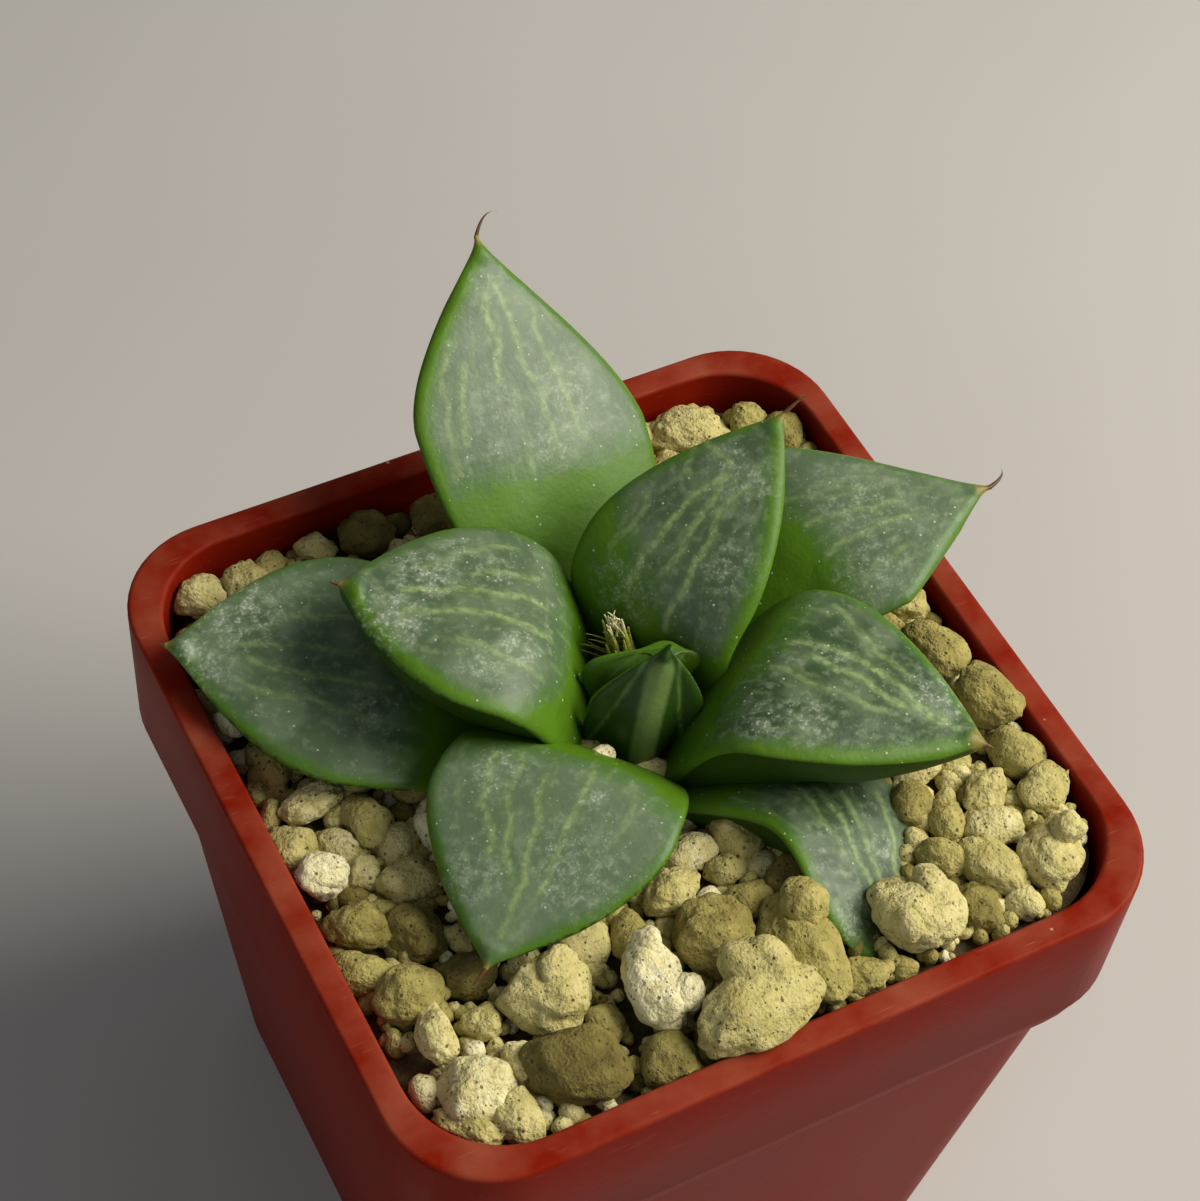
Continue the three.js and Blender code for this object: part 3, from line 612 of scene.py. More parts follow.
# %% [markdown]
# A leaf's skin is a grid that is wrapped round the two lines, one row for each place along the leaf, and
# then closed. It could be sculpted, or grown from a box with Subdivision Surface, but on a grid every
# point knows how far along and across the leaf it lies, and the marks need that. The margins are plump, so
# the top and the underside meet in a small round edge, and the last rows draw in to the bristle.

# %% Leaf skin
ACROSS_TOP = 60
ACROSS_UNDER = 32
ALONG = 140
AWN_ROWS = 12
MARGIN_ROUND = 0.8
MARGIN_THICKNESS = 1.5
ROUND_FROM = 0.93  # share of the length at which the rows start to become rings
AWN_TAPER = 0.85


def smooth(value, low, high):
    share = np.clip((value - low) / (high - low), 0, 1)
    return share * share * (3 - 2 * share)


def section_places():
    """Places across the leaf, once round: over the window from the left, then back underneath."""
    top = np.linspace(1, -1, ACROSS_TOP + 1)
    below = np.linspace(-1, 1, ACROSS_UNDER + 1)
    even = np.concatenate([top, below[1:]])
    return 0.35 * even + 0.65 * np.sin(even * math.pi / 2)


def ripple(points, size, seed):
    shift = Vector((seed * 17.3, seed * 5.1, seed * 9.7))
    return np.array([noise.noise(Vector(p) / size + shift) for p in points])


def leaf_rows(lines):
    """For each row: how far along it is, its middle, the way down to the keel, depth and half width."""
    shares = np.linspace(0, 1, ALONG + 1)
    face, keel = lines["face"](shares), lines["keel"](shares)
    down = keel - face
    depth = np.linalg.norm(down, axis=1)
    down /= depth[:, None]
    fleshy_base = 1 + lines["swell"] * (1 - smooth(shares, 0.2, 0.5))
    bristle = BRISTLE_RADIUS * smooth(shares, 0.9, 1)
    half = np.sqrt((fleshy_base * lines["half"](shares)) ** 2 + bristle**2)
    return shares, face, down, depth, half


def leaf_skin(name, leaf):
    lines = leaf_lines(leaf)
    shares, face, down, depth, half = leaf_rows(lines)
    x = section_places()
    on_top = np.arange(len(x)) <= ACROSS_TOP
    h, d = half[:, None], depth[:, None]
    droop = MARGIN_DROOP * d * np.abs(x) ** 3 - CROWN * h * (1 - x * x)
    least = np.minimum(MARGIN_THICKNESS / d, 0.5)
    belly = d * np.maximum(1 - np.abs(x) ** leaf["keel_power"], least)
    inwards = (1 - np.abs(x)) * h
    turn = np.sqrt(1 - (1 - np.minimum(inwards / MARGIN_ROUND, 1)) ** 2)
    middle = (droop + belly) / 2
    drop = middle + np.where(on_top, droop - middle, belly - middle) * turn
    flat = face[:, None] + lines["across"] * (x * h)[..., None] + down[:, None] * drop[..., None]

    # towards the tip every row becomes a small ring, and further rings follow the bristle
    angle = np.where(on_top, (1 - x) / 2 * math.pi, math.pi + (1 + x) / 2 * math.pi)
    ring = (
        lines["across"] * np.cos(angle)[:, None] - lines["under"] * np.sin(angle)[:, None]
    ) * BRISTLE_RADIUS
    centre = face + lines["under"] * BRISTLE_RADIUS
    rings = centre[:, None] + ring * np.maximum(h / BRISTLE_RADIUS, 1)[..., None]
    share_round = smooth(shares, ROUND_FROM, 1)[:, None, None]
    rows = flat * (1 - share_round) + rings * share_round
    ahead = lines["face"](1.0) - lines["face"](0.96)
    ahead *= np.linalg.norm(lines["awn"]) / np.linalg.norm(ahead)
    for step in range(1, AWN_ROWS + 1):
        t = step / AWN_ROWS
        bent = lines["tip"] + lines["under"] * BRISTLE_RADIUS + ahead * t * (1 - t) + lines["awn"] * t
        size = 1 - AWN_TAPER * t**0.8
        rows = np.concatenate([rows, (bent + ring * size)[None]])
    return lines, rows, x, on_top, half


print("points round a leaf:", len(section_places()))

# %% [markdown]
# What the finish has to know is kept on the mesh as plain numbers, one for each point: how far inside the
# window's edge it lies and how pale the window is, how far away the nearest vein and faint vein are, how
# far away the nearest pale stripe and painted highlight line along a margin are, how strong the vein is,
# how much frost lies there, how near the tip is, and how much painted shade the underside gets, none on
# top. A painted picture could hold them too, but numbers on the points need no unwrapping. All are in
# millimetres or shares, so the finish can draw fine lines between the points.

# %% Measure the marks
VEIN_STEP = 0.5
VEIN_WAVE = 3
VEIN_SWAY = 0.55
SHIVER_WAVE = 0.9
SHIVER_SHARE = 0.4
FAR = 9.0
MARGIN_SHARPNESS = 2.5
FAINT_PLACES = np.arange(-0.88, 0.9, 0.2)


def to_chain(flat, chain):
    """Distance of each flat place to a chain of straight pieces."""
    best = np.full(len(flat), 1e9)
    for a, b in zip(chain[:-1], chain[1:]):
        along = b - a
        share = np.clip(((flat - a) @ along) / (along @ along), 0, 1)
        best = np.minimum(best, np.linalg.norm(flat - (a + share[:, None] * along), axis=1))
    return best


def wavy(chain, seed):
    """The same chain with a step every half millimetre, swaying a little to either side."""
    chain = np.array(chain)
    lengths = np.concatenate([[0], np.cumsum(np.linalg.norm(np.diff(chain, axis=0), axis=1))])
    run = np.linspace(0, lengths[-1], max(int(lengths[-1] / VEIN_STEP), 2))
    swayed = np.stack([np.interp(run, lengths, chain[:, k]) for k in range(2)], axis=1)
    sway = [noise.noise(Vector((r / VEIN_WAVE, seed * 3.3, 0))) for r in run]
    shiver = [noise.noise(Vector((r / SHIVER_WAVE, seed * 3.3, 5))) for r in run]
    swayed[:, 0] += VEIN_SWAY * np.array(sway) + SHIVER_SHARE * VEIN_SWAY * np.array(shiver)
    return swayed


def measure(name, lines, x, on_top, half):
    """One number a point and row for each mark, for all the rows before the bristle."""
    marks = MARKS[name]
    shares = np.linspace(0, 1, ALONG + 1)
    across = np.broadcast_to(x, (len(shares), len(x)))
    along = np.broadcast_to(shares[:, None], across.shape)
    width = half[:, None]
    top = np.broadcast_to(on_top, across.shape)
    edge = np.interp(-across, (-1, -0.5, 0, 0.5, 1), marks["window"])
    below = (along - edge) * lines["length"]
    left = MARGIN_SHARPNESS * ((1 - across) * width - marks["margins"][0])
    right = MARGIN_SHARPNESS * ((1 + across) * width - marks["margins"][1])
    window = np.where(top, np.minimum(np.minimum(below, left), right), -3)
    flat = np.stack([across * width, along * lines["length"]], axis=-1).reshape(-1, 2)

    def on_leaf(chain):
        return [np.array([a * float(lines["half"](s)), s * lines["length"]]) for a, s in chain]

    gap, strength, faint = np.full(len(flat), FAR), np.zeros(len(flat)), np.full(len(flat), FAR)
    for count, a in enumerate(FAINT_PLACES if marks["window"][0] < 1 else ()):
        start = np.interp(-a, (-1, -0.5, 0, 0.5, 1), marks["window"])
        chain = on_leaf([(a, start), (0.95 * a, 0.75), (0.8 * a, 0.94)])
        faint = np.minimum(faint, to_chain(flat, wavy(chain, count + 50)))
    for count, (force, *chain) in enumerate(marks["veins"]):
        near = to_chain(flat, wavy(on_leaf(chain), count + len(name) * 7))
        nearer = near < gap
        gap = np.where(nearer, near, gap)
        strength = np.where(nearer, force, strength)
    frost = np.zeros(len(flat))
    for a, s, radius, force in marks["frost"]:
        reach = np.linalg.norm(flat - on_leaf([(a, s)])[0], axis=1)
        frost = np.maximum(frost, force * np.clip(1 - (reach / radius) ** 2, 0, 1))
    # distance to the pale stripes and to the painted highlight lines along the margins
    stripe_and_margin_highlight = np.full(len(flat), FAR)
    for half_width, *chain in marks.get("stripes_and_margin_highlights", ()):
        stripe_and_margin_highlight = np.minimum(stripe_and_margin_highlight, to_chain(flat, on_leaf(chain)) - half_width)
    upper = top.reshape(-1)
    return {
        "window_edge": window.reshape(-1),
        "vein_gap": np.where(upper, gap, FAR),
        "vein_strength": strength,
        "faint_gap": np.where(upper, faint, FAR),
        "frost": np.where(upper, frost, 0),
        "stripe_and_highlight_gap": np.where(upper, FAR, stripe_and_margin_highlight),
        "to_tip": ((1 - along) * lines["length"]).reshape(-1) - marks["dry"],
        # how much painted shade the underside gets, none on top
        "underside": np.where(top, 0.0, marks.get("shade", 1.0)).reshape(-1),
        "window_tone": np.full(len(flat), float(marks["tone"])),
        "along": along.reshape(-1),
    }


print("marks are measured on", ALONG + 1, "rows")

# %% [markdown]
# With the skin and its marks at hand, every leaf is built in the same way: a grid is laid over the rows,
# its two long edges are welded, its open ends are filled, and its faces are turned outwards. A slow ripple
# keeps the faces from being too perfect.

# %% Build the leaves
RIPPLE_SIZE = 5
RIPPLE_DEPTH = 0.12
CALM_ROWS = 30  # the ripple dies down over these last rows, so that the tip stays sharp
WELD = 0.002 * MM


def build_leaf(name, seed):
    lines, rows, x, on_top, half = leaf_skin(name, LEAVES[name])
    columns = len(x)
    bpy.ops.mesh.primitive_grid_add(x_subdivisions=columns - 1, y_subdivisions=len(rows) - 1, size=1)
    leaf = bpy.context.object
    points = rows.reshape(-1, 3)
    before_tip = len(rows) - 1 - AWN_ROWS - np.arange(len(rows))
    calm = np.repeat(np.clip(before_tip / CALM_ROWS, 0, 1), columns)
    points = points - (ripple(points, RIPPLE_SIZE, seed) * RIPPLE_DEPTH * calm)[:, None] * lines["under"]
    leaf.data.vertices.foreach_set("co", (points * MM).ravel())
    for label, values in measure(name, lines, x, on_top, half).items():
        last = values.reshape(-1, columns)[-1]
        if label == "to_tip" and MARKS[name]["dry"] > 0:
            last = np.full(columns, -1.5)
        values = np.concatenate([values, np.tile(last, AWN_ROWS)])
        leaf.data.attributes.new(label, "FLOAT", "POINT").data.foreach_set("value", values)
    bpy.ops.object.mode_set(mode="EDIT")
    bpy.ops.mesh.select_all(action="SELECT")
    bpy.ops.mesh.remove_doubles(threshold=WELD)
    bpy.ops.mesh.select_all(action="DESELECT")
    bpy.ops.mesh.select_non_manifold()
    bpy.ops.mesh.edge_face_add()
    bpy.ops.mesh.select_all(action="SELECT")
    bpy.ops.mesh.normals_make_consistent(inside=False)
    bpy.ops.object.mode_set(mode="OBJECT")
    bpy.ops.object.shade_smooth()
    return leaf


leaves = {name: build_leaf(name, seed) for seed, name in enumerate(LEAVES, 1)}
print("built", ", ".join(leaves))

# %% [markdown]
# A leaf's window is clear water tissue below a waxy skin, so it looks grey-green and deep. Below the
# window's ragged edge the leaf is plain bright green and uneven like all flesh, with painted shade
# underneath and low towards the stem. Clear skin could be made see-through, but then the inside would
# have to be modelled, so the depth is drawn as pale clouds over a dark tone.

# %% Leaf finish: flesh and window
leaf_finish, tree, shader = new_finish("waxy leaf skin with a clear window")
place = node("TexCoord", {}, out="Object")
MEASURED = ("along", "underside", "stripe_and_highlight_gap", "window_edge", "window_tone", "vein_gap", "vein_strength")
MEASURED += ("faint_gap", "frost", "to_tip")
mark = {label: node("Attribute", {}, out="Fac", attribute_name=label) for label in MEASURED}

# green flesh, uneven, with painted shade towards the stem and underneath, and pale stripes on young
# leaves with painted highlight lines along their margins
uneven = node("Math", [node("TexNoise", cells(1.2)), 0.3], **TIMES)
stripe_and_margin_highlight = node("MapRange", [node("Math", [mark["stripe_and_highlight_gap"], uneven], **PLUS), 0.45, -0.1], **SOFT)
flesh = layered(
    colour("#3E6109"),
    (node("TexNoise", cells(3, 3.0)), "#567F12"),
    # painted shade low among the leaves, towards the stem
    (node("MapRange", [mark["along"], 0.4, 0.05, 0, 0.8], **SOFT), "#2B5006"),
    # painted shade on the underside
    (node("Math", [mark["underside"], 0.85], **TIMES), "#233F08"),
    # pale stripes, and painted highlight lines along the margins
    (node("Math", [stripe_and_margin_highlight, 0.5], **TIMES), "#7B9650"),
)

# the window, deep grey-green with paler clouds, and greener over a soft, ragged edge
ragged = node("Math", [node("TexNoise", cells(1.3, 4.0)), 0.5], **MINUS)
inside = node("Math", [mark["window_edge"], node("Math", [ragged, 3.2], **TIMES)], **PLUS)
window = node("MapRange", [inside, -0.5, 0.4], **SOFT)
depths = layered(
    colour("#2F4526"),
    (mark["window_tone"], "#667A5C"),
    (node("MapRange", [node("TexNoise", cells(4, 5.0)), 0.42, 0.64, 0, 0.4], **SOFT), "#788A6C"),
    (node("MapRange", [node("TexNoise", cells(0.9, 4.0)), 0.5, 0.75, 0, 0.35], **SOFT), "#93A384"),
    (node("MapRange", [inside, 3.2, 0.2, 0, 0.75], **SOFT), "#466C1E"),
)
print("the leaf's finish reads", len(MEASURED), "marks")

# %% [markdown]
# In the window lie pale, wavy veins that run to the tip, a few clear ones and faint ones between them. On
# top sits a frost of tiny white dots, and the tip dries to brown. Everything is laid over the flesh in
# that order. Skin and wax have an IOR of about 1.45, and the wax gives them a soft second gloss.

# %% Leaf finish: veins, frost and tip
# pale veins: a few drawn ones, grainy and of uneven strength, and faint ones between them
fringe = node("Math", [node("TexNoise", cells(0.5, 3.0)), 0.5], **MINUS)
fringe = node("Math", [fringe, 0.55], **TIMES)
apart = node("Math", [mark["vein_gap"], fringe], **PLUS)
broken = node("MapRange", [node("TexNoise", cells(0.8, 4.0)), 0.38, 0.56, 0.3, 1.0], **SOFT)
vein = node("Math", [node("MapRange", [apart, 0.5, -0.05], **SOFT), broken], **TIMES)
vein = node("Math", [vein, mark["vein_strength"]], **TIMES)
halo = node("MapRange", [apart, 1.1, 0.2, 0, 0.35], **SOFT)
halo = node("Math", [halo, mark["vein_strength"]], **TIMES)
lace = node("MapRange", [node("Math", [mark["faint_gap"], fringe], **PLUS), 0.4, 0.05], **SOFT)
thin = node("MapRange", [node("TexNoise", cells(1.4, 3.0)), 0.45, 0.6, 0, 0.3], **SOFT)

# frost: fine white dots everywhere on top, and clouds of them where the patches are
patch = node("MapRange", [node("TexNoise", cells(0.9, 4.0)), 0.36, 0.6], **SOFT)
patch = node("Math", [mark["frost"], patch], **TIMES)
crumbs = node("MapRange", [node("TexNoise", cells(0.3, 3.0)), 0.5, 0.6], **SOFT)
crumbs = node("Math", [crumbs, patch], **TIMES)
above = node("Math", [1.0, mark["underside"]], **MINUS)
lone = node("Math", [dots(0.9, 0.15, 0.3), node("Math", [above, 0.75], **TIMES)], **TIMES)
fine = node("Math", [dots(0.45, 0.22, 0.2), node("Math", [window, 0.35], **TIMES)], **TIMES)
frost = node("Math", [patch, 0.2], **TIMES)
for more in (node("Math", [crumbs, 0.75], **TIMES), lone, fine):
    frost = node("Math", [frost, more], **MOST)

# the dry tip, and all of it laid over the flesh
tip = node("Math", [node("TexNoise", cells(0.6)), 0.8], **TIMES)
tip = node("MapRange", [node("Math", [mark["to_tip"], tip], **PLUS), 0.9, 0.2], **SOFT)
skin = layered(
    flesh,
    (window, depths),
    (node("Math", [halo, window], **TIMES), "#567440"),
    (node("Math", [lace, thin], **TIMES), "#7F9662"),
    (node("Math", [vein, 0.72], **TIMES), "#95A96C"),
    (frost, "#BCC6B0"),
    (tip, "#7A722E"),
    (node("MapRange", [mark["to_tip"], -0.6, -1.2], **SOFT), "#54341A"),
)
gloss = node("MapRange", [window, 0, 1, 0.5, 0.44], **SOFT)
height = node("Math", [node("TexNoise", cells(0.35, 3.0)), 0.4], **TIMES)
height = node("Math", [height, node("Math", [frost, 0.5], **TIMES)], **PLUS)
height = node("Math", [height, node("Math", [node("TexNoise", cells(2.2)), 1.2], **TIMES)], **PLUS)
feed(shader, {
    "Base Color": skin,
    "Roughness": node("Math", [gloss, node("Math", [frost, 0.35], **TIMES)], **PLUS),
    "Normal": node("Bump", {"Height": height, "Strength": 0.35, "Distance": 0.25 * MM}),
    "Subsurface Weight": 0.2,
    "Subsurface Radius": (0.0011, 0.0012, 0.0003),
    "Subsurface Scale": 1.0,
    "IOR": 1.45,
    "Specular IOR Level": 0.3,
    "Coat Weight": 0.06,
    "Coat Roughness": 0.3,
})

for name, leaf in leaves.items():
    settle(leaf, name + "_fleshy", leaf_finish, "leaf", name)

# %% [markdown]
# The grit is sieved pumice: light, rounded lumps full of holes, from dust up to a centimetre. The frame
# places its stones by listed lumps and by a seeded rule for the rest, and the same rule is run here
# again, so each finer stone lies over its node's. Then thousands of small grains fill the gaps.

# %% Where the stones lie
SOIL_DEPTH = 3.4
SOIL_SLOPE = (0.02, -0.03)
GRAIN_SEED = 77
GRAIN_TRIES = 2600
GRAIN_SIZES = (2.3, 1.6, 1.15)
GRAIN_SPREAD = 0.15
GRAIN_SHAPE = (1.15, 0.95, 0.85)
GRAIN_RISE = 0.35
GRAIN_TILT = 0.4
GRAIN_SPACING = 0.86
LUMP_FLATNESS = 0.8
WALL_MARGIN = 1.4
BELLY_PLACES = (0.2, 0.35, 0.5, 0.65, 0.8)
BELLY_BREADTH = 0.75

# centre x, y and height over the rim, length, breadth, bearing, and last the tone: 0 white, 1 brown
LUMPS = [
    (-3.6, -30.2, 1.2, 12.6, 6.6, 12, 0.42),
    (30.0, -11.8, 0.4, 7.0, 5.0, 112, 0.62),
    (-26.8, -25.7, -1.6, 6.2, 5.8, 130, 0.2),
    (-18.3, -20.9, -1.0, 7.0, 6.6, 145, 0.38),
    (-10.2, -24.4, -0.2, 8.4, 5.4, 90, 0.13),
    (-3.3, -21.8, -0.8, 6.8, 6.4, 140, 0.66),
    (2.6, -25.8, -0.6, 10.2, 6.2, 94, 0.56),
    (12.8, -27.6, -0.4, 7.4, 6.6, 133, 0.3),
    (21.5, -26.0, -0.9, 6.8, 4.2, 101, 0.45),
    (26.6, -27.2, -0.8, 6.4, 5.0, 75, 0.36),
    (18.4, -28.8, -1.6, 4.6, 4.2, 136, 0.72),
    (-18.6, -28.0, -1.2, 9.0, 6.4, 158, 0.85),
    (-22.5, -25.0, -1.6, 3.8, 3.2, 91, 0.2),
    (-27.6, -20.4, -1.2, 5.4, 3.2, 79, 0.3),
    (-24.9, -29.4, -1.6, 4.6, 3.6, 79, 0.35),
    (-28.6, -28.4, -2.0, 5.6, 3.0, 136, 0.42),
    (-28.0, -15.6, -2.0, 5.6, 5.2, 20, 0.6),
    (-29.8, -2.6, -1.8, 4.4, 4.2, 131, 0.1),
    (-29.2, -8.0, -2.2, 5.0, 4.4, 172, 0.68),
    (-24.6, -10.6, -2.8, 5.6, 4.6, 96, 0.78),
    (-27.4, 5.0, -2.6, 5.4, 3.4, 6, 0.25),
    (-24.0, 1.4, -2.6, 4.8, 3.8, 94, 0.5),
    (-27.6, 29.0, -2.4, 4.8, 4.2, 141, 0.35),
    (-23.4, 27.6, -2.2, 6.8, 4.2, 74, 0.42),
    (-15.8, 30.2, -3.0, 3.6, 3.2, 156, 0.3),
    (-10.9, 29.6, -3.2, 5.4, 4.6, 141, 0.85),
    # this lump lies in leaf 1's shadow, and its brown tone is painted shadow
    (-4.6, 29.4, -3.2, 5.0, 4.0, 60, 0.8),
    (22.0, 28.6, -2.6, 7.6, 4.8, 166, 0.35),
    (27.6, 27.4, -2.6, 3.8, 3.6, 152, 0.55),
    (29.4, 2.0, -1.6, 5.2, 4.4, 100, 0.45),
    (29.0, -4.6, -1.0, 6.4, 5.2, 121, 0.58),
    (6.4, -30.0, -1.8, 3.8, 3.2, 170, 0.55),
    (-4.4, -16.2, -1.6, 4.8, 4.4, 167, 0.42),
    (-23.6, -20.4, -2.0, 3.8, 3.0, 1, 0.4),
    (-30.8, 14.4, -1.6, 2.8, 2.4, 124, 0.1),
    (29.6, -21.4, -1.4, 4.8, 4.4, 60, 0.45),
    (25.4, -18.6, -1.8, 4.6, 3.8, 20, 0.4),
]
# knobs on some of them, and last a pale grain at the foot of the small leaves, in the same words
KNOBS = [
    (-3.0, -28.4, 1.8, 7.0, 5.6, 100, 0.4),
    (-9.6, -21.2, 1.2, 3.4, 2.6, 60, 0.13),
    (-8.4, -26.2, 0.8, 3.6, 3.0, 10, 0.13),
    (14.6, -26.2, 0.9, 3.6, 3.4, 20, 0.28),
    (11.2, -28.8, 0.8, 3.4, 3.0, 80, 0.32),
    (28.2, -26.2, 0.8, 3.2, 3.0, 30, 0.34),
    (-17.0, -20.0, 0.8, 3.6, 3.2, 30, 0.36),
    (3.8, -23.6, 1.2, 4.4, 3.8, 70, 0.52),
    (29.6, 3.4, 0.2, 3.0, 2.8, 100, 0.42),
    (-4.2, -3.3, 1.0, 2.4, 1.7, 150, 0.05),
]


def soil_height(x, y):
    return POT_HEIGHT - SOIL_DEPTH + SOIL_SLOPE[0] * x + SOIL_SLOPE[1] * y


def even_draws(seed):
    """The frame's own row of random numbers between 0 and 1."""
    state = seed
    while True:
        state = state * 16807 % 2147483647
        yield state / 2147483647


def bellies():
    """Places along the underside of each leaf, with the breadth of the leaf there."""
    found = []
    for leaf in LEAVES.values():
        lines = leaf_lines(leaf)
        for share in BELLY_PLACES:
            found.append((lines["keel"](share), BELLY_BREADTH * float(lines["half"](share))))
    return found


def inside_wall(x, y):
    reach, corner = INNER_HALF - WALL_MARGIN, RIM_HALF * CORNER_RATIO
    past = [max(abs(v) - reach + corner, 0) for v in (x, y)]
    return math.hypot(*past) <= corner


def place_stones():
    draw = even_draws(GRAIN_SEED).__next__
    resting = bellies()
    stones = []
    for x, y, z, length, breadth, bearing, tone in LUMPS:
        size = np.array([length, breadth, LUMP_FLATNESS * breadth]) / 2
        middle = np.array([x, y, POT_HEIGHT + z])
        stones.append((middle, size, math.radians(bearing), 0, (length + breadth) / 4, tone))
    for radius in GRAIN_SIZES:
        for _ in range(GRAIN_TRIES):
            x, y = (2 * draw() - 1) * INNER_HALF, (2 * draw() - 1) * INNER_HALF
            r = radius * (1 + GRAIN_SPREAD * (2 * draw() - 1))
            soil = soil_height(x, y)
            if not inside_wall(x, y):
                continue
            if any(math.hypot(s[0][0] - x, s[0][1] - y) <= GRAIN_SPACING * (s[4] + r) for s in stones):
                continue
            if any(b[2] < soil + r and math.hypot(b[0] - x, b[1] - y) < reach for b, reach in resting):
                continue
            middle = np.array([x, y, soil + GRAIN_RISE * r])
            bearing, tilt = draw() * math.pi, GRAIN_TILT * (2 * draw() - 1)
            stones.append((middle, np.array(GRAIN_SHAPE) * r, bearing, tilt, r, None))
    return stones


stones = place_stones()
print(len(stones), "stones, of which", len(LUMPS), "are lumps")

# %% [markdown]
# A stone starts as a ball, whose points move out to a cluster of smaller balls, because froth sets in
# lobes. Random flats are laid against it, as knocks leave them, then slow noise makes it uneven, and
# cells pressed into the larger ones leave their holes. Displace modifiers could do the last two, but the
# flats and lobes need the points themselves, so all of it is done on them.

# %% Form of a stone
LOBES = 10
LOBE_OFFSETS = (0.34, 0.58)
LOBE_RADII = (0.42, 0.58)
CORE_RADIUS = 0.74
LOBE_SHARE = 0.55  # how much of a stone's form its lobes give
LOBE_MERGE = 9  # the higher, the sharper the creases between lobes
FLATS = 12
FLAT_DISTANCES = (0.72, 0.98)
FLAT_SHARE = 0.6
FLAT_MERGE = 10
HOLE_SPACING = 1.02  # in millimetres on a stone of any size
HOLE_REACH = 0.35
HOLE_DEPTH = 0.09
UNEVEN = 0.14
UNEVEN_SMALL = 0.12
chance = random.Random(11)


def lobed(points, lobes):
    """Radius of each point of a cluster of balls that have grown together."""
    reach = CORE_RADIUS**LOBE_MERGE * np.ones(len(points))
    for _ in range(lobes):
        facing = np.array([chance.gauss(0, 1) for _ in range(3)])
        facing *= chance.uniform(*LOBE_OFFSETS) / np.linalg.norm(facing)
        radius = chance.uniform(*LOBE_RADII)
        ahead = points @ facing
        inner = radius**2 - facing @ facing + ahead**2
        out = np.where(inner > 0, ahead + np.sqrt(np.maximum(inner, 0)), 0)
        reach += np.maximum(out, 0) ** LOBE_MERGE
    return reach ** (1 / LOBE_MERGE)


def knocked(points, flats, bulge):
    """Radius of each point after some random flats have been laid against the ball."""
    reach = np.full(len(points), bulge ** -float(FLAT_MERGE))
    for _ in range(flats):
        facing = np.array([chance.gauss(0, 1) for _ in range(3)])
        facing /= np.linalg.norm(facing)
        gap = chance.uniform(*FLAT_DISTANCES) / np.maximum(points @ facing, 0.05)
        reach += gap ** -float(FLAT_MERGE)
    return reach ** (-1 / FLAT_MERGE)


def hollows(points, cell, seed):
    """Distance to the nearest hole's middle, in cells."""
    shift = Vector((seed * 3.7, seed * 8.3, seed * 1.9))
    return np.array([noise.voronoi(Vector(p) / cell + shift)[0][0] for p in points])


def stone_points(points, stone, seed, lumpiness, pits):
    middle, size, bearing, tilt, radius, _ = stone
    cluster = lobed(points, LOBES)
    reach = 1 - LOBE_SHARE + LOBE_SHARE * cluster / cluster.mean()
    reach = reach * (1 - FLAT_SHARE + FLAT_SHARE * knocked(points, FLATS, 1.12))
    reach = reach * (1 + lumpiness * ripple(points, 0.9, seed) + 0.1 * ripple(points, 0.33, seed + 31))
    reach /= reach.mean()
    if pits:
        holes = hollows(points, HOLE_SPACING / radius, seed)
        pitted = ripple(points, 0.8, seed + 57) > -0.1
        reach = reach - np.where(pitted, HOLE_DEPTH * np.clip(1 - holes / HOLE_REACH, 0, 1), 0)
        reach = reach + 0.025 * ripple(points, 0.14, seed + 71)
    shape = points * reach[:, None] * size
    turn = Matrix.Rotation(bearing, 3, "Z") @ Matrix.Rotation(tilt, 3, "X")
    return shape @ np.array(turn).T + middle


print("a stone is a cluster of", LOBES, "balls with", FLATS, "flats")

# %% [markdown]
# No stone may poke through the pot's wall, so points that would are drawn back to it, and what lies over
# the rim rests on its top. The ball is modelled once for each size of stone, and every stone is its own
# copy with its own points. Stones of a size are kept in one mesh, because hundreds of objects are slow.

# %% Shape the stones
COBBLE_RADIUS = 1.5
WALL_GAP = 0.15
REST_HEIGHT = POT_HEIGHT + 0.08


def ball(subdivisions):
    bpy.ops.mesh.primitive_ico_sphere_add(subdivisions=subdivisions, radius=1)
    made = bpy.context.object
    points = np.array([v.co for v in made.data.vertices])
    points /= np.linalg.norm(points, axis=1)[:, None]
    faces = np.array([face.vertices for face in made.data.polygons])
    bpy.data.objects.remove(made)
    return points, faces


def kept_in_pot(points):
    """Nothing passes the pot's inner wall below the rim, and what lies over the rim rests on it."""
    reach, corner = INNER_HALF - WALL_GAP, RIM_HALF * CORNER_RATIO - WALL_GAP
    flat = points[:, :2]
    core = np.clip(flat, -(reach - corner), reach - corner)
    off = flat - core
    gap = np.linalg.norm(off, axis=1)
    outside = gap > corner
    low = points[:, 2] < REST_HEIGHT
    near_top = (points[:, 2] > POT_HEIGHT - 0.5) & outside & low
    moved = points.copy()
    pulled = core + off * (corner / np.maximum(gap, 1e-6))[:, None]
    moved[outside & low & ~near_top, :2] = pulled[outside & low & ~near_top]
    moved[near_top, 2] = REST_HEIGHT
    return moved


def heap(name, stones):
    """One mesh of many stones; each keeps its tone on its points."""
    points = np.concatenate([p for p, _, _ in stones]) * MM
    starts = np.cumsum([0] + [len(p) for p, _, _ in stones[:-1]])
    faces = np.concatenate([f + start for (_, f, _), start in zip(stones, starts)])
    mesh = bpy.data.meshes.new(name)
    mesh.from_pydata(points.tolist(), [], faces.tolist())
    shade = np.concatenate([np.full(len(p), tone) for p, _, tone in stones])
    mesh.attributes.new("tone", "FLOAT", "POINT").data.foreach_set("value", shade)
    made = bpy.data.objects.new(name, mesh)
    bpy.context.collection.objects.link(made)
    only(made)
    bpy.ops.object.shade_smooth()
    return made


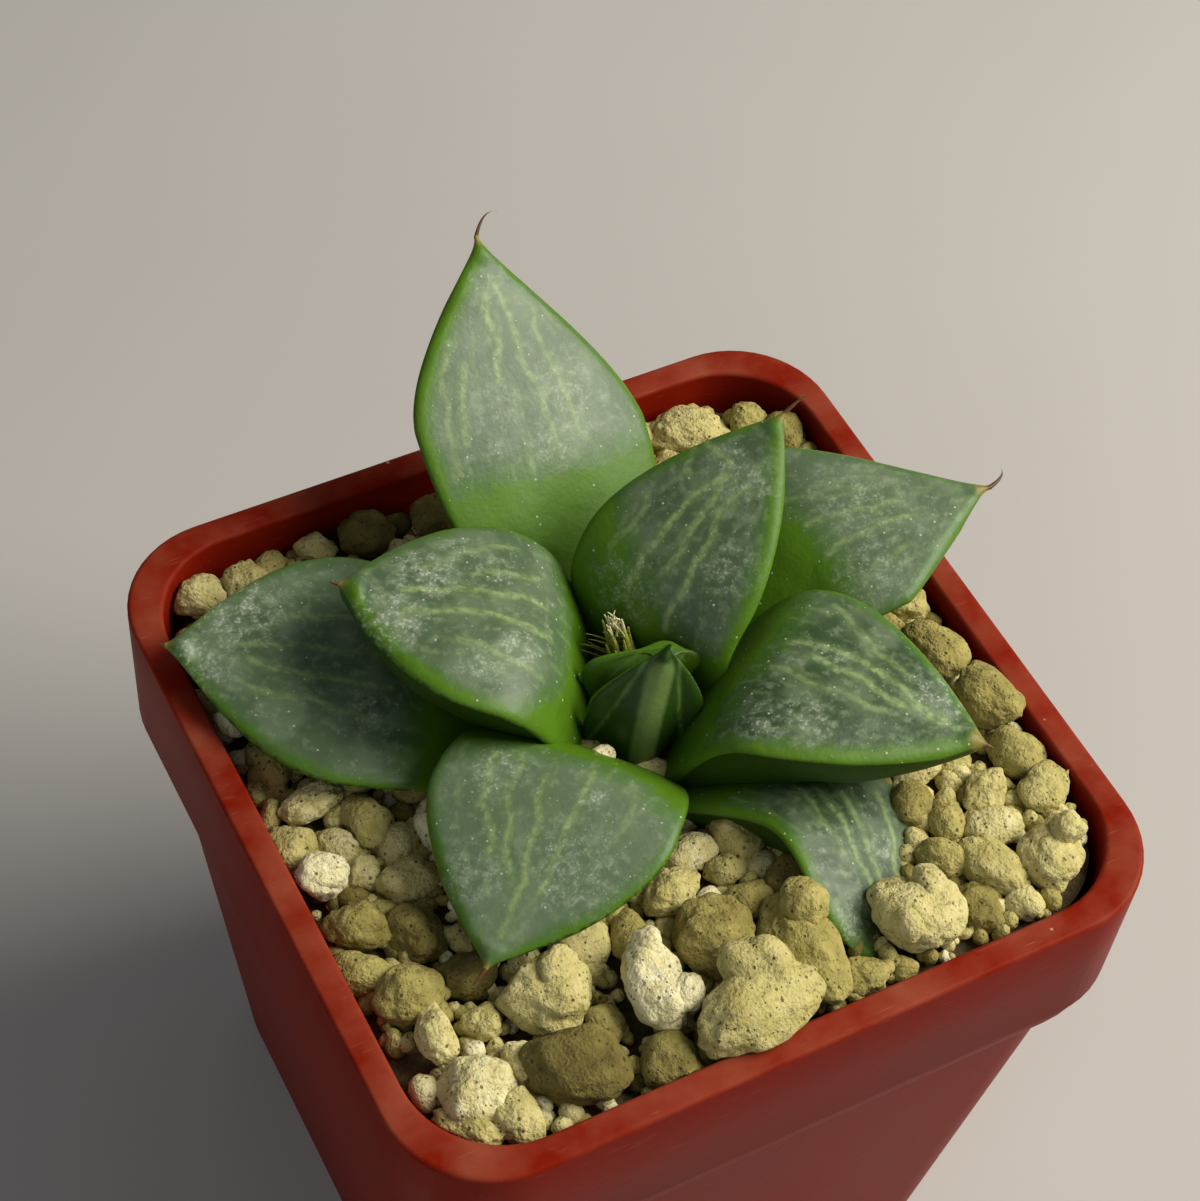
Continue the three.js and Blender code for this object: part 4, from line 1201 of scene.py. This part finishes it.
def some_tone():
    pick = chance.random()
    if pick < 0.08:
        return chance.uniform(0, 0.12)
    if pick < 0.8:
        return chance.uniform(0.2, 0.55)
    return chance.uniform(0.55, 0.9)


fine_ball, good_ball, small_ball = ball(5), ball(4), ball(3)
lumps, cobbles, pebbles = [], [], []
for seed, stone in enumerate(stones):
    tone = some_tone() if stone[5] is None else stone[5]
    (start, faces), pile, lumpiness = small_ball, pebbles, UNEVEN_SMALL
    if seed < len(LUMPS):
        (start, faces), pile, lumpiness = fine_ball, lumps, UNEVEN
    elif stone[4] > COBBLE_RADIUS:
        (start, faces), pile = good_ball, cobbles
    shaped = stone_points(start, stone, seed, lumpiness, pile is not pebbles)
    pile.append((kept_in_pot(shaped), faces, tone))
for seed, (x, y, z, length, breadth, bearing, tone) in enumerate(KNOBS, len(stones)):
    size = np.array([length, breadth, breadth]) / 2
    knob = np.array([x, y, POT_HEIGHT + z]), size, math.radians(bearing), 0, (length + breadth) / 4, tone
    shaped = stone_points(good_ball[0], knob, seed, UNEVEN, True)
    cobbles.append((kept_in_pot(shaped), good_ball[1], tone))
print(len(lumps), "lumps,", len(cobbles), "cobbles,", len(pebbles), "pebbles")

# %% [markdown]
# Small grains lie between and on the stones. A particle system could strew them, but it can't tell where a
# stone already lies. There are thousands, so one is modelled with few faces, and each copy is stretched,
# turned and knocked on its own.

# %% Fill with small grains
SMALL_TRIES = 3400
SMALL_RADII = (0.45, 0.95)
SMALL_SPREAD = 0.985  # lets them lie a little nearer to the wall than the stones
STONE_COVER = 0.7  # share of a stone's radius under which no small grain is needed

crumb_ball = ball(2)
crumbs = []
big = np.array([[s[0][0], s[0][1], s[4]] for s in stones])
for _ in range(SMALL_TRIES):
    x, y = (chance.uniform(-1, 1) * (INNER_HALF - 0.8) for _ in range(2))
    r = chance.uniform(*SMALL_RADII)
    if not inside_wall(x * SMALL_SPREAD, y * SMALL_SPREAD):
        continue
    if np.any(np.hypot(big[:, 0] - x, big[:, 1] - y) < STONE_COVER * big[:, 2]):
        continue
    middle = np.array([x, y, soil_height(x, y) + chance.uniform(-0.3, 0.5)])
    size = np.array([chance.uniform(0.8, 1.3) for _ in range(3)]) * r
    reach = knocked(crumb_ball[0], 6, 1.1)
    shape = crumb_ball[0] * reach[:, None] * size
    turn = Matrix.Rotation(chance.uniform(0, math.pi), 3, "Z")
    turn = turn @ Matrix.Rotation(chance.uniform(0, 1), 3, "X")
    crumbs.append((kept_in_pot(shape @ np.array(turn).T + middle), crumb_ball[1], some_tone()))
print(len(crumbs), "small grains")

# %% [markdown]
# Pumice is frothy volcanic glass, weathered to cream and khaki. It is quite dull, its broken bubbles
# leave pits whose dark dots are painted shade, and dust gathers in its hollows. Each stone's own tone picks
# its colour between white, cream, khaki and brown, and noise at the size of its bubbles does the rest.

# %% Grit finish
grit_finish, tree, shader = new_finish("weathered pumice")
place = node("TexCoord", {}, out="Object")
mottle = node("Math", [node("TexNoise", cells(1.8, 4.0)), 0.5], **MINUS)
tone = node("Attribute", {}, out="Fac", attribute_name="tone")
tone = node("Math", [tone, node("Math", [mottle, 0.5], **TIMES)], use_clamp=True, **PLUS)
stone_tone = node("ValToRGB", [tone])
stops = stone_tone.node.color_ramp.elements
stops[0].position, stops[0].color = 0.0, colour("#E4DFB8")
stops[1].position, stops[1].color = 1.0, colour("#4E451C")
for position, shade in ((0.25, "#CBC184"), (0.5, "#AAA05C"), (0.75, "#7D7238")):
    stop = stops.new(position)
    stop.color = colour(shade)
clean = node("MapRange", [node("TexNoise", cells(0.5, 4.0)), 0.34, 0.44], **SOFT)
dusty = node("Math", [node("Math", [1.0, clean], **MINUS), 0.45], **TIMES)
bubbles = node("Math", [dots(0.75, 0.26, 0.3), dots(0.4, 0.28, 0.2)], **MOST)
height = node("Math", [node("TexNoise", cells(0.3, 4.0)), node("TexNoise", cells(1.2, 3.0))], **PLUS)
height = node("Math", [height, bubbles], **MINUS)
# painted shade in the bubble pits
dark = node("Math", [bubbles, 0.75], **TIMES)
feed(shader, {
    "Base Color": layered(stone_tone, (dusty, "#6A5C38"), (dark, "#3A301C")),
    "Roughness": 0.88,
    "IOR": 1.5,
    "Specular IOR Level": 0.3,
    "Normal": node("Bump", {"Height": height, "Strength": 0.6, "Distance": 0.4 * MM}),
})

piles = {"grit_lumps": lumps, "grit_cobbles": cobbles, "grit_pebbles": pebbles, "grit_crumbs": crumbs}
for name, pile in piles.items():
    settle(heap(name, pile), name, grit_finish, "pumice_grit", "substrate")

# %% [markdown]
# Below the stones lies the soil itself, packed dark and fine to the floor of the pot. Only its top shows
# between the stones, and a little of its foot through the drain holes. It is the pot's rounded square
# again, a little smaller, with a top that is cut into a fine grid and made uneven, and its open edge is
# extruded down to the floor, as the pot was.

# %% Soil bed
SOIL_GAP = 0.3
BED_CUTS = 110
BED_DROP = 0.7  # the bed lies this far under the height that the stones rest at
SMOOTH_ANGLE = math.radians(50)

bed_half = INNER_HALF - 0.4 - SOIL_GAP
bpy.ops.mesh.primitive_grid_add(x_subdivisions=BED_CUTS, y_subdivisions=BED_CUTS, size=2 * bed_half * MM)
bed = bpy.context.object
points = np.array([v.co for v in bed.data.vertices]) / MM
corner = bed_half * CORNER_RATIO
core = np.clip(points[:, :2], -(bed_half - corner), bed_half - corner)
off = points[:, :2] - core
gap = np.linalg.norm(off, axis=1)
square = np.max(np.abs(off), axis=1)
points[:, :2] = core + off * (square / np.maximum(gap, 1e-6))[:, None]
rough = 0.3 * ripple(points, 2.2, 5) + 0.25 * ripple(points, 0.9, 6)
points[:, 2] = soil_height(points[:, 0], points[:, 1]) - BED_DROP + rough
bed.data.vertices.foreach_set("co", (points * MM).ravel())
bpy.ops.object.mode_set(mode="EDIT")
bpy.ops.mesh.select_all(action="DESELECT")
bpy.ops.mesh.select_non_manifold()
foot_half = BASE_HALF - WALL - SOIL_GAP
for foot, half_side in ((BODY_TOP - 1, BODY_HALF - WALL - SOIL_GAP), (FLOOR + SOIL_GAP, foot_half)):
    bpy.ops.mesh.extrude_edges_move()
    shape = bmesh.from_edit_mesh(bed.data)
    ring = [v for v in shape.verts if v.select]
    widest = max(abs(v.co.x) for v in ring)
    for v in ring:
        v.co = Vector((v.co.x * half_side * MM / widest, v.co.y * half_side * MM / widest, foot * MM))
    bmesh.update_edit_mesh(bed.data)
bpy.ops.mesh.edge_face_add()
bpy.ops.mesh.select_all(action="SELECT")
bpy.ops.mesh.normals_make_consistent(inside=False)
bpy.ops.object.mode_set(mode="OBJECT")
bpy.ops.object.shade_smooth_by_angle(angle=SMOOTH_ANGLE)
print("soil bed is", round(2 * bed_half, 1), "mm wide")

# %% [markdown]
# The soil is humus and fine grit, damp and nearly black, with paler crumbs. It has no gloss at all, so a
# high roughness and a strong relief are enough.

# %% Soil finish
soil_finish, tree, shader = new_finish("damp fine grit and humus")
place = node("TexCoord", {}, out="Object")
height = node("TexNoise", cells(0.5, 4.0))
feed(shader, {
    "Base Color": layered(colour("#2E2415"), (node("TexNoise", cells(0.8, 5.0)), "#6B5A38")),
    "Roughness": 0.95,
    "Normal": node("Bump", {"Height": height, "Strength": 0.8, "Distance": 0.5 * MM}),
})
settle(bed, "soil_bed", soil_finish, "pumice_grit", "substrate")

# %% [markdown]
# In the middle stands what is left of a flower stalk: a torn sheath of dry, yellow-green fibres that
# fray to cream at the top, with a few fine hairs beside it. Each fibre is a curve with a round bevel that
# narrows towards its end, which is then made a mesh. Drawing them as curves keeps them even and smooth.

# %% Flower stalk
STALK_FOOT = Vector((0.5, 0.9, -2)) + PLANT_CENTRE
STALK_TOP = Vector((-1.0, 2.9, 6.5)) + PLANT_CENTRE
STALK_RADIUS = 1.25
FIBRES = 15
FRAYS = 30
HAIRS = 7
FIBRE_RADII, FRAY_RADII, HAIR_RADII = (0.4, 0.5, 0.3, 0.07), (0.12, 0.1, 0.04), (0.06, 0.05, 0.03)
stalk_axis = (STALK_TOP - STALK_FOOT).normalized()
stalk_side = stalk_axis.orthogonal().normalized()


def strand(places, radii):
    bpy.ops.curve.primitive_bezier_curve_add()
    made = bpy.context.object
    made.data.splines.clear()
    spline = made.data.splines.new("NURBS")
    spline.points.add(len(places) - 1)
    for point, place_mm, radius in zip(spline.points, places, radii):
        point.co = (*(Vector(place_mm) * MM), 1)
        point.radius = radius
    spline.use_endpoint_u = True
    spline.order_u = 3
    spline.resolution_u = 5
    made.data.dimensions = "3D"
    made.data.bevel_depth = MM
    made.data.bevel_resolution = 1
    made.data.use_fill_caps = True
    made.matrix_world = Matrix.Identity(4)
    bpy.ops.object.convert(target="MESH")
    return bpy.context.object


def around(turn):
    return (Matrix.Rotation(turn, 3, stalk_axis) @ stalk_side).normalized()


strands = []
for i in range(FIBRES):
    turn = i / FIBRES * 2 * math.pi
    outwards = around(turn + chance.uniform(-0.15, 0.15))
    reach = STALK_RADIUS * chance.uniform(0.5, 1.0)
    height = (STALK_TOP - STALK_FOOT).length + chance.uniform(-2.6, 1.2)
    lean = chance.uniform(0.0, 0.5)
    places = [
        STALK_FOOT + outwards * reach * 0.8,
        STALK_FOOT + stalk_axis * height * 0.35 + outwards * reach * 1.1,
        STALK_FOOT + stalk_axis * height * 0.7 + outwards * reach,
        STALK_FOOT + stalk_axis * height + outwards * (reach * 0.9 + lean),
    ]
    strands.append(strand(places, FIBRE_RADII))
for _ in range(FRAYS):
    outwards = around(chance.uniform(0, 2 * math.pi))
    start = STALK_TOP + outwards * chance.uniform(0, 0.9) - stalk_axis * chance.uniform(0.2, 1.6)
    length = chance.uniform(0.7, 1.7)
    spread = around(chance.uniform(0, 2 * math.pi)) * chance.uniform(0.1, 0.7)
    places = [start, start + stalk_axis * length * 0.6, start + stalk_axis * length + spread]
    strands.append(strand(places, FRAY_RADII))
for i in range(HAIRS):
    start = STALK_FOOT + Vector((-1.4, 1.2, 3.6 + 0.45 * i))
    reach = Vector((-2.2, 1.6, 0.9)) + Vector([chance.uniform(-0.5, 0.5) for _ in range(3)])
    sag = Vector((0, 0, 0.4))
    places = [start, start + reach * 0.5 + sag, start + reach]
    strands.append(strand(places, HAIR_RADII))
for piece in strands:
    piece.select_set(True)
bpy.context.view_layer.objects.active = strands[0]
bpy.ops.object.join()
stalk = bpy.context.object
bpy.ops.object.shade_smooth()
print(len(strands), "strands")

# %% [markdown]
# Dry fibres bleach from yellow-green to cream where they fray, and keep dark streaks where they have
# rotted. Height alone tells how far a fibre has bleached, and fine noise gives the streaks.

# %% Stalk finish
stalk_finish, tree, shader = new_finish("dried stalk fibre")
place = node("TexCoord", {}, out="Object")
height_up = node("SeparateXYZ", [place], out=2)
dark = node("MapRange", [node("TexNoise", cells(0.25)), 0.42, 0.34], **SOFT)
fray = node("MapRange", [height_up, (STALK_TOP.z - 0.9) * MM, (STALK_TOP.z + 0.5) * MM], **SOFT)
streaky = node("TexNoise", cells(0.45, 3.0))
fibre_tone = layered(colour("#7C8A20"), (streaky, "#B8B850"), (dark, "#3A3410"), (fray, "#DDD3AC"))
feed(shader, {"Base Color": fibre_tone, "Roughness": 0.75})
settle(stalk, "stalk_fibres", stalk_finish, "dry_stalk", "flower_stalk")

# %% [markdown]
# The stem hardly shows between the leaves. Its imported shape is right, so the node stays and only gets a
# better finish: fleshy, green and slightly scarred.

# %% Stem finish
stem_finish, tree, shader = new_finish("fleshy stem")
place = node("TexCoord", {}, out="Object")
height = node("TexNoise", cells(0.6, 3.0))
feed(shader, {
    "Base Color": layered(colour("#4F6B22"), (node("TexNoise", cells(1.5, 4.0)), "#7C8A45")),
    "Roughness": 0.6,
    "Normal": node("Bump", {"Height": height, "Strength": 0.4, "Distance": 0.3 * MM}),
})
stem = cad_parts["stem"]
stem.data.materials.clear()
stem.data.materials.append(stem_finish)
print("the stem is", round(stem.dimensions.z / MM, 1), "mm high")
